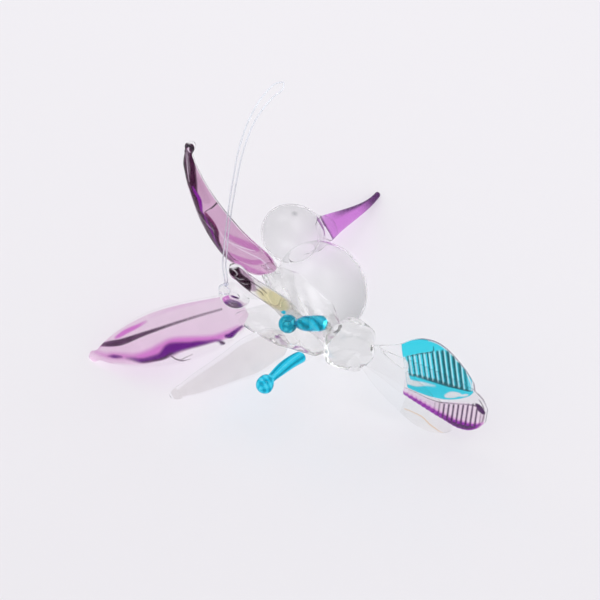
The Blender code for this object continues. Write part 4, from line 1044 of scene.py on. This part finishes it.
SECONDARY_STREAKS = {
    "left": [
        # Painted highlights along both edges.
        ("rim", 0.8, [
            (1.0, 5.0, 0.4, 0.9), (8.5, 5.7, 0.5, 1.0), (14.0, 4.8, 0.45, 1.0), (20.0, 3.9, 0.4, 1.0),
            (26.0, 2.9, 0.35, 1.0), (31.0, 1.7, 0.3, 0.9)]),
        ("rim", 0.8, [
            (1.0, -5.0, 0.4, 0.9), (8.5, -5.7, 0.5, 1.0), (14.0, -4.8, 0.45, 1.0), (20.0, -3.9, 0.4, 1.0),
            (26.0, -2.9, 0.35, 1.0), (31.0, -1.7, 0.3, 0.9)]),
        ("straw", 0.5, [(30.5, -1.6, 0.1, 0.15), (16.2, -4.6, 0.15, 0.2), (5.8, -5.6, 0.1, 0.15)])],
    "right": [
        ("straw", 2.0, [
            (22.4, -2.8, 1.2, 0.7), (19.0, -3.4, 2.2, 0.95), (15.5, -3.9, 2.4, 0.95),
            (12.0, -4.2, 1.6, 0.7)]),
        ("mauve", 0.6, [
            (34.0, 0.2, 2.0, 0.7), (30.0, -0.2, 2.2, 0.7), (26.5, -0.6, 2.0, 0.6), (24.0, -1.0, 1.0, 0.4)]),
        ("plum", 0.6, [
            (34.5, 0.2, 1.6, 1.0), (31.8, 0.2, 1.5, 1.0), (29.7, -0.1, 1.4, 1.0), (27.6, -0.4, 1.5, 1.0),
            (25.4, 0.1, 1.1, 1.0), (23.6, 0.5, 0.5, 0.9), (22.4, 0.7, 0.2, 0.7)]),
        ("cyan", 0.4, [(10.4, -3.8, 0.3, 0.9), (9.6, -3.3, 0.6, 1.0), (8.6, -3.0, 0.3, 0.9)]),
        # Painted shade: dark lines along the edge.
        ("smoke_and_edge_shade", 0.3, [
            (31.5, 1.8, 0.2, 0.9), (27.3, 1.5, 0.2, 0.9), (21.8, 0.7, 0.2, 0.9), (16.7, -0.7, 0.18, 0.9),
            (8.9, -0.8, 0.15, 0.8), (4.0, -0.3, 0.1, 0.5)]),
        ("smoke_and_edge_shade", 0.25, [
            (30.0, 1.0, 0.08, 0.8), (25.0, 0.7, 0.1, 0.8), (19.5, -0.4, 0.1, 0.8), (14.5, -1.4, 0.08, 0.7)]),
        ("smoke_and_edge_shade", 0.3, [(27.6, -2.0, 0.12, 0.8), (23.9, -3.2, 0.12, 0.6), (20.9, -3.7, 0.1, 0.4)]),
        ("smoke_and_edge_shade", 0.3, [(24.0, -2.0, 0.12, 0.5), (22.0, -2.6, 0.14, 0.6), (20.4, -2.4, 0.1, 0.4)]),
        # Painted highlights on the dark curls and along the edge.
        ("pale", 0.3, [
            (33.9, 0.8, 0.1, 0.3), (33.4, -0.2, 0.15, 0.5), (32.2, -0.4, 0.12, 0.4), (31.6, 0.4, 0.1, 0.3)]),
        ("pale", 0.3, [(31.0, 1.0, 0.1, 0.3), (29.8, 0.2, 0.14, 0.4), (29.2, -0.9, 0.1, 0.3)]),
        ("pale", 0.3, [(28.4, 0.9, 0.1, 0.3), (27.3, 0.1, 0.12, 0.4), (26.8, -1.0, 0.1, 0.3)]),
        ("pale", 0.3, [(30.2, 1.5, 0.12, 0.6), (25.0, 1.1, 0.14, 0.8), (20.0, 0.1, 0.14, 0.8)])]}

for side, look in SECONDARY_LOOKS.items():
    make_wing_feather("secondary", "straw", SECONDARY, side, look, SECONDARY_STREAKS[side],
                      glass_grid=(110, 72), core_grid=(280, 120), short=0.8)

# Tertiary feathers. A short cyan rod on each wing root, necked in before the ball that it was drawn off in.
# The colour is marbled with teal streaks and with light streaks of painted highlight, which wind along the
# rod and swirl in the ball.
TERTIARY = {
    "left": {"root": np.array([3.4, 7.2, 10.5]), "ball": np.array([-1.6, 12.5, 23.9]), "rod": 1.8,
             "neck": 1.3, "bow": np.array([0.75, -0.65, 0.0]), "colour_from": 0.4, "face": math.radians(70.0),
             "wind": 4, "twist": 0.2, "teal": 0.1},
    "right": {"root": np.array([2.9, 7.6, 11.0]), "ball": np.array([0.2, 12.3, 25.5]), "rod": 2.2,
              "neck": 0.45, "bow": np.zeros(3), "colour_from": -0.8, "face": math.radians(-47.0),
              "wind": 3, "twist": 1.1, "teal": 0.75}}
TERTIARY_SINK = 2.5
TERTIARY_SIDES = 56
TERTIARY_STEPS = (70, 34)           # along the rod, and over its ball
BALL_RADIUS = 2.6
BALL_BLEND = 0.4                    # length over which the rod's pattern goes over into the ball's
CYAN = (0.02, 0.68, 0.94)
TEAL = (0.005, 0.22, 0.33)
HIGHLIGHT_CYAN = (0.50, 0.94, 0.99)


def drawn_rod_rings(shape, side, shrink, start):
    """Circles along the rod: its radius is read from a table up to the neck, and then follows the ball.
    Returns them with each one's place along the rod and the ball's."""
    along = shape["ball"] - shape["root"]
    length = np.linalg.norm(along)
    along = along / length
    thick, slim, neck = shape["rod"], shape["rod"] - shape["neck"], length - BALL_RADIUS * 0.9
    rows = [(-TERTIARY_SINK, thick), (neck * 0.4, thick), (neck * 0.65, thick - slim * 0.12),
            (neck * 0.82, thick - slim * 0.5), (neck * 0.93, thick - slim * 0.88), (neck, shape["neck"])]
    shaft = np.linspace(start, neck, TERTIARY_STEPS[0])
    turn = np.radians(np.linspace(150.0, 3.0, TERTIARY_STEPS[1]))
    place = np.concatenate([shaft, length + BALL_RADIUS * np.cos(turn)])
    radii = np.concatenate([read_table(rows, shaft)[:, 0], BALL_RADIUS * np.sin(turn)])
    rounded = np.clip((place - start) / thick + 0.02, 0.0, 1.0)
    radii *= np.sqrt(1 - (1 - rounded)**2)
    middle = length + (place - length) * np.where(place > neck, shrink, 1.0)
    first = unit(np.cross(along, LEFT))
    second = np.cross(along, first)
    angle = full_turn(TERTIARY_SIDES)[None, :, None]
    share = np.clip(place / length, 0.0, 1.0)[:, None]
    line = shape["root"] + along * middle[:, None] + shape["bow"] * 4 * share * (1 - share)
    rings = line[:, None] + (radii * shrink)[:, None, None] * (first * np.cos(angle) + second * np.sin(angle))
    return on_side(rings, side), place[:, None], length


def marble_rod(shape, place, length):
    """The strength of the teal streaks and of the light streaks, which are painted highlights. On the shaft
    both follow a wave that winds along it, in the ball the product of two crossed waves, and neither reaches
    the rod's inner half."""
    off_face = full_turn(TERTIARY_SIDES)[None, :] - shape["face"]
    in_ball = np.clip((place - length + BALL_RADIUS) / BALL_BLEND, 0.0, 1.0)
    outer_half = np.clip(np.cos(off_face) * 4 + 0.8, 0.0, 1.0)
    wave = np.cos(shape["wind"] * off_face + shape["twist"] * place + 0.9)
    marble = np.sin(3 * off_face + 1.7 * place) * np.sin(2 * off_face - 2.4 * place)
    teal = (np.clip(wave * 2.8 - 1.1, 0.0, 0.95) * (1 - in_ball)
            + np.clip(shape["teal"] + marble * 1.2, 0.0, 0.9) * in_ball)
    # light: painted highlights on the rod and in the ball
    light = (np.clip(-wave * 4.5 - 3.2, 0.0, 0.9) * (1 - in_ball)
             + np.clip(-2.4 * marble - 0.6, 0.0, 0.9) * in_ball)
    return {"teal": teal * outer_half, "light": light * outer_half}


for side, shape in TERTIARY.items():
    rod_places = seat_on_egg(drawn_rod_rings(shape, side, 1.0, -TERTIARY_SINK)[0])
    make_piece(f"tertiary_feather_{side}_glass", lay_down(rod_places), clear_skin, "cyan_glass",
               f"tertiary_feather_{side}",
               traits={"fused": np.maximum(within_root(side)(rod_places), within_egg(rod_places))})
    rod_heart, rod_place, rod_length = drawn_rod_rings(shape, side, CORE_WIDTH, shape["colour_from"])
    rod_cyan = colour_core(f"tertiary_cyan_{side}", CYAN, {"teal": TEAL, "light": HIGHLIGHT_CYAN}, cloud=0.15)
    make_piece(f"tertiary_feather_{side}_core", lay_down(rod_heart), rod_cyan, "cyan_glass",
               traits=marble_rod(shape, rod_place, rod_length))

# Tail. Three blades in layers, each a clear flattened rod from the rump knot that turns into a
# coloured feather. The feathers were pressed with a ribbed tool across their middle band, and their
# edges were left round.
TAIL_PITCH = math.radians(49.7)
TAIL_BEND = 2.2
TAIL_THICKNESS = 2.2
TAIL_REACH = 47.0
LAYER_STEP = 2.5
RIB_PITCH = 1.5
RIB_DEPTH = 0.55
RIB_EDGE = 0.10                     # soft edge of the ribbed band, in the feather's half width
TAIL_EDGE = 6                       # power that rounds the feathers' edges
TAIL_STEPS = 260
TAIL_SIDES = 96
TAIL_ROOT_GRID = (60, 72)           # steps along, and sides
TAIL_CORE_SIDES = 240
TAIL_CORE_WIDTH = 0.98              # shares of the clear glass round it
TAIL_CORE_THICKNESS = 0.45
TAIL_CORE_SHORT = 0.7
RIM_SHADE_WIDTH = 0.012                   # of the rim's painted shade, in the feather's half width
RIM_SHADE_LENGTH = 0.25                   # of the rim's painted shade at the feather's tip
TAIL_SINK = 1.2
SEAM_OVERLAP = 0.02
# Each outline's rows: place along the feather, and its two edges aside. Each rib row: place, and the ribbed
# band's two edges as shares of the half width
TAIL = {
    "right": {"turn": math.radians(14.0), "slant": math.radians(30.0), "layer": 1, "seam": 16.6,
              "outline": [(3.0, -3.2, 3.2), (9.0, -5.0, 5.0), (16.6, -8.4, 8.2), (20.0, -9.4, 10.8),
                          (24.0, -9.9, 12.4), (29.0, -9.2, 11.4), (33.0, -7.2, 6.8), (35.4, -5.2, 2.6),
                          (36.8, -3.2, -0.8)],
              "ribs": [(16.6, -0.30, 0.44), (23.0, -0.32, 0.54), (26.5, -0.35, 0.68), (29.5, -0.38, 0.90),
                       (33.0, -0.42, 1.1), (36.8, -0.56, 1.1)]},
    "middle": {"turn": math.radians(-6.0), "slant": math.radians(19.0), "layer": 0, "seam": 18.4,
               "outline": [(3.0, -3.6, 3.6), (10.0, -5.2, 5.0), (18.4, -7.2, 6.6), (25.0, -8.2, 7.8),
                           (32.0, -9.0, 8.6), (38.0, -9.2, 8.8), (41.6, -7.4, 8.0), (44.2, -4.4, 6.2),
                           (45.8, -1.2, 3.6)],
               "ribs": [(18.4, -0.95, -0.50), (27.0, -0.95, -0.40), (30.0, -0.95, -0.30), (36.8, -0.95, 0.11),
                        (43.6, -0.90, 0.60), (45.8, -0.90, 0.70)]},
    "left": {"turn": math.radians(-24.0), "slant": math.radians(8.0), "layer": -1, "seam": 24.0,
             "outline": [(3.0, -4.0, 3.2), (12.0, -7.6, 5.0), (18.0, -8.3, 6.0), (24.0, -8.6, 6.8),
                         (31.0, -8.3, 7.2), (37.0, -5.8, 6.6), (41.0, -2.4, 4.8), (43.3, 0.8, 2.8)],
             "ribs": [(24.0, -0.62, 0.62), (43.3, -0.62, 0.62)]}}
# Each feather's slot, ribs' depth, the place from which painted shade darkens its rim, ground and colours
TAIL_LOOKS = {
    # On the right feather teal and deep are painted shade, pale is a painted highlight, and one clear patch
    # is a painted reflection; the middle feather's plum is partly its own colour and partly painted shade.
    "right": {"slot": "cyan_glass", "ribs": RIB_DEPTH, "shade_from": 20.0, "ground": (0.012, 0.73, 0.96),
              "colours": {"teal": (0.005, 0.30, 0.38), "deep": (0.002, 0.06, 0.08),
                          "pale": (0.50, 0.94, 0.98), "clear": (0.88, 0.96, 0.96)}},
    "middle": {"slot": "purple_glass", "ribs": RIB_DEPTH, "shade_from": 39.5, "ground": (0.98, 0.96, 0.97),
               "colours": {"lilac": (0.93, 0.70, 0.86), "rose": (0.80, 0.26, 0.72),
                           "violet": (0.22, 0.004, 0.32), "plum": (0.03, 0.006, 0.045)}},
    "left": {"slot": "straw_glass", "ribs": 0.15, "shade_from": 50.0, "ground": (0.985, 0.98, 0.965),
             "colours": {"gold": (0.86, 0.50, 0.18)}}}
# Each streak as on the wings, but with its place aside and its half width in tenths of the
# feather's half width
TAIL_STREAKS = {
    "right": [
        ("clear", 0.5, [
            (16.4, 3.6, 0.9, 1.0), (16.6, 1.0, 1.2, 1.0), (16.6, -2.0, 0.9, 1.0), (16.4, -6.2, 1.6, 0.9)]),
        ("clear", 0.8, [
            (16.4, -6.2, 1.3, 0.9), (19.0, -6.2, 1.0, 0.9), (22.0, -5.4, 0.5, 0.6), (25.0, -5.2, 0.2, 0.3)]),
        # A painted reflection: a white patch near the lower edge.
        ("clear", 0.6, [
            (28.2, -8.3, 0.6, 0.9), (30.0, -7.6, 1.2, 1.0), (31.6, -7.4, 0.9, 1.0),
            (32.6, -8.0, 0.4, 0.9), (33.9, -8.1, 0.7, 1.0)]),
        ("clear", 0.5, [
            (25.0, 9.8, 0.1, 1.0), (29.6, 9.8, 0.25, 1.0), (32.5, 9.7, 0.35, 1.0), (34.9, 9.4, 0.3, 1.0),
            (35.9, 3.0, 0.2, 1.0), (35.9, -5.0, 0.2, 1.0)]),
        # Painted shade along the ribbed band's lower and upper edges.
        ("deep", 0.5, [
            (16.8, -2.9, 0.45, 0.6), (20.1, -3.0, 0.5, 0.8), (23.3, -3.3, 0.6, 0.9),
            (26.5, -3.6, 0.65, 1.0), (29.6, -4.0, 0.65, 1.0), (32.9, -4.3, 0.6, 1.0),
            (35.9, -5.4, 0.4, 1.0)]),
        ("deep", 0.3, [
            (17.4, 4.4, 0.12, 0.6), (19.2, 4.6, 0.18, 0.9), (22.0, 5.2, 0.2, 1.0), (24.6, 5.9, 0.2, 1.0),
            (26.0, 6.9, 0.15, 0.9), (26.2, 8.2, 0.12, 0.7)])],
    "middle": [
        ("lilac", 1.2, [
            (18.6, -7.6, 1.8, 0.8), (23.0, -7.0, 2.6, 0.8), (27.0, -6.4, 2.8, 0.9),
            (31.0, -6.2, 3.6, 1.0), (35.0, -4.8, 4.6, 1.0), (39.0, -3.6, 5.8, 1.0),
            (43.0, -2.8, 7.0, 1.0), (45.0, -2.8, 7.0, 1.0)]),
        ("rose", 1.4, [
            (18.6, -8.8, 1.4, 0.7), (23.2, -8.5, 1.8, 0.8), (31.1, -8.3, 2.0, 0.8),
            (35.0, -8.1, 2.3, 0.8), (38.7, -7.8, 2.6, 0.8), (41.2, -7.8, 2.5, 0.8), (43.5, -7.2, 1.7, 0.8)]),
        ("violet", 1.0, [
            (18.6, -8.8, 0.6, 0.8), (23.2, -8.6, 1.0, 0.9), (27.1, -8.5, 1.1, 0.9),
            (31.1, -8.4, 1.2, 0.9), (35.0, -8.2, 1.5, 0.95), (38.7, -8.0, 2.0, 1.0),
            (41.2, -8.0, 1.9, 1.0), (43.5, -7.3, 0.9, 0.8)]),
        ("plum", 0.8, [
            (32.5, -8.6, 0.3, 0.3), (35.0, -8.5, 0.7, 0.7), (38.7, -8.2, 0.9, 0.9),
            (41.2, -8.0, 0.7, 0.9), (43.0, -7.4, 0.2, 0.5)]),
        # Painted shade along the ribbed band's upper edge.
        ("plum", 0.4, [
            (18.6, -5.2, 0.15, 0.6), (22.1, -4.3, 0.15, 0.7), (26.5, -3.7, 0.15, 0.8),
            (30.1, -2.6, 0.2, 0.8), (33.5, -0.6, 0.2, 0.8), (38.3, 2.2, 0.2, 0.8), (42.4, 4.2, 0.3, 0.9)]),
        ("plum", 0.6, [
            (42.3, 4.9, 0.7, 0.9), (43.1, 4.4, 1.4, 1.0), (43.8, 3.2, 1.4, 1.0), (44.2, 1.8, 0.8, 0.9)]),
        # Painted shade along the tip's edge.
        ("plum", 0.5, [
            (42.8, 8.0, 0.3, 0.5), (44.3, 6.0, 0.3, 0.6), (44.8, -1.0, 0.3, 0.6), (44.6, -6.0, 0.3, 0.5)])],
    "left": [
        ("gold", 0.4, [
            (25.2, -6.4, 0.15, 0.7), (27.4, -5.0, 0.15, 0.9), (30.5, -3.8, 0.18, 1.0),
            (32.6, -3.7, 0.2, 1.0), (35.4, -5.1, 0.24, 1.0), (37.9, -6.3, 0.2, 1.0),
            (40.7, -9.0, 0.15, 0.9)])]}

tail_out = np.array([-math.cos(TAIL_PITCH), 0.0, -math.sin(TAIL_PITCH)])
tail_off = np.array([-math.sin(TAIL_PITCH), 0.0, math.cos(TAIL_PITCH)])


def tail_middle(feather, place):
    """The middle of a tail feather and its half width, both across, at places along it."""
    low, high = np.moveaxis(read_table(feather["outline"], place), -1, 0)
    return (low + high) / 2, (high - low) / 2


def tail_places(feather, place, share, lift):
    """Places in a tail feather, from the place along it, the share across it and the lift off its middle
    sheet. The fan's outer end bends down as the square of the way out."""
    middle, half = tail_middle(feather, place)
    across = middle + share * half
    out = place * math.cos(feather["turn"]) - across * math.sin(feather["slant"])
    aside = place * math.sin(feather["turn"]) + across * math.cos(feather["slant"])
    lift = feather["layer"] * LAYER_STEP + lift - TAIL_BEND * (out / TAIL_REACH)**2
    return tail_out * out[..., None] - LEFT * aside[..., None] + tail_off * lift[..., None]


def within_tail(feather):
    """A function of places that gives the depth in millimetres under a tail feather, by its thin way."""
    turn, slant, outline = feather["turn"], feather["slant"], feather["outline"]

    def depth(places):
        out, aside = places @ tail_out, -places[..., 1]
        square = math.cos(turn - slant)
        place = (out * math.cos(slant) + aside * math.sin(slant)) / square
        across = (aside * math.cos(turn) - out * math.sin(turn)) / square
        middle, half = tail_middle(feather, np.clip(place, outline[0][0], outline[-1][0]))
        lift = places @ tail_off - feather["layer"] * LAYER_STEP + TAIL_BEND * (out / TAIL_REACH)**2
        reach = np.sqrt(np.abs((across - middle) / half)**TAIL_EDGE + (lift / (TAIL_THICKNESS / 2))**2)
        return np.where(place > outline[0][0], (1 - reach) * TAIL_THICKNESS / 2, -1.0)
    return depth


def tail_rings(feather, start, end, rows, sides, ribbed, width=1.0, depth=1.0):
    """Flat sections with round edges, height = (1 - share to the sixth) to the half. Inside the ribbed
    band the upper face sinks by ribbed millimetres to a sharp valley between round bars, as 1 - |sin|.
    Returns them with each corner's place along the feather, its share across it and how far it is in
    the ribbed band."""
    last, half = feather["outline"][-1][0], TAIL_THICKNESS / 2
    place = np.linspace(start, end, rows)[:, None]
    angle = full_turn(sides)[None, :]
    thin = half * np.minimum(1.0, np.sqrt(np.maximum(last - place, 0.0) / half) * 0.6 + 0.25)
    height = np.sign(np.sin(angle)) * np.sqrt(1 - np.abs(np.cos(angle))**TAIL_EDGE)
    place, share, lift = np.broadcast_arrays(place, np.cos(angle) * width, thin * depth * height)
    valley = 1 - np.abs(np.sin(math.pi * (place - feather["seam"]) / RIB_PITCH))**0.8
    low, high = np.moveaxis(read_table(feather["ribs"], place), -1, 0)
    band = np.clip((high - share) / RIB_EDGE + 0.5, 0.0, 1.0)
    band = band * np.clip((share - low) / RIB_EDGE + 0.5, 0.0, 1.0)
    band = band * np.clip((last - RIB_PITCH * 0.8 - place) / RIB_PITCH, 0.0, 1.0)
    lift = lift - ribbed * valley * band * (height > 0)
    return tail_places(feather, place, share, lift), place, share, band * (height >= 0)


def colour_ribs(name, streaks, phase, place, band):
    """Lay the ribs' painted shade and painted highlights over a feather's streaks, by how far each corner is
    from a valley between bars. The right feather's valleys get deep and teal painted shade, with a pale
    painted highlight on each bar, and the middle one's valleys get plum painted shade."""
    off_valley = np.minimum(phase, 1 - phase)
    if name == "right":
        outer = np.clip((place - 23.5) / 4.0, 0.0, 1.0)
        # Painted shade in the valleys (teal and deep) and a painted highlight on each bar (pale).
        streaks["teal"] = (0.75 + 0.2 * outer) * np.clip(1.6 + outer - off_valley / 0.17, 0.0, 1.0) * band
        streaks["deep"] = np.maximum(streaks["deep"], np.exp(-(off_valley / (0.15 + 0.14 * outer))**4) * band)
        streaks["pale"] = 0.95 * np.exp(-((phase - 0.42) / (0.12 - 0.03 * outer))**2) * band
    elif name == "middle":
        # Painted shade in the middle feather's rib valleys.
        streaks["plum"] = np.maximum(streaks["plum"], np.exp(-(off_valley / 0.26)**4) * band
                                     * np.clip((place - 28.0) / 4.0, 0.0, 1.0))
    return streaks


pressed = fired_glass("pressed_clear_glass", (0.99, 0.99, 0.99), 0.03, 1.07, 0.3,
                      painted_shade_tint=(0.25, 0.21, 0.27))
for tail_name, feather in TAIL.items():
    look = TAIL_LOOKS[tail_name]
    start, seam, last = feather["outline"][0][0], feather["seam"], feather["outline"][-1][0]
    root_places, root_place, _, _ = tail_rings(feather, start, seam, *TAIL_ROOT_GRID, 0.0)
    root_places = seat_on_rump(root_places, TAIL_SINK)
    make_piece(f"tail_root_{tail_name}_glass", lay_down(root_places), pressed, "clear_glass",
               f"tail_root_{tail_name}",
               traits={"fused": np.maximum(within_rump(root_places), root_place - seam + SEAM_OVERLAP)})
    fuse(rump, within_tail(feather))
    blade_places, blade_place, blade_share, _ = tail_rings(feather, seam, last, TAIL_STEPS, TAIL_SIDES,
                                                           look["ribs"])
    # Painted shade: the "thick" attribute darkens the blade's rim and tip.
    rim = np.clip(np.maximum(1.7 - (1 - blade_share) / RIM_SHADE_WIDTH, 1.5 - (last - blade_place) / RIM_SHADE_LENGTH),
                  0.0, 1.0)
    rim = rim * np.clip((blade_place - look["shade_from"]) / 3.0, 0.0, 1.0)
    make_piece(f"tail_feather_{tail_name}_glass", lay_down(blade_places), pressed, look["slot"],
               f"tail_feather_{tail_name}", traits={"fused": seam + SEAM_OVERLAP - blade_place, "thick": rim})
    core, core_place, core_share, core_band = tail_rings(
        feather, seam + 0.1, last - TAIL_CORE_SHORT, TAIL_STEPS, TAIL_CORE_SIDES, look["ribs"],
        width=TAIL_CORE_WIDTH, depth=TAIL_CORE_THICKNESS)
    tail_colour = colour_core(f"tail_colour_{tail_name}", look["ground"], look["colours"], sheet=1.25)
    streaks = lay_streaks(TAIL_STREAKS[tail_name], core_place, core_share * 10)
    phase = np.mod((core_place - seam) / RIB_PITCH, 1.0)
    make_piece(f"tail_feather_{tail_name}_core", lay_down(core), tail_colour, look["slot"],
               traits=colour_ribs(tail_name, streaks, phase, core_place, core_band))
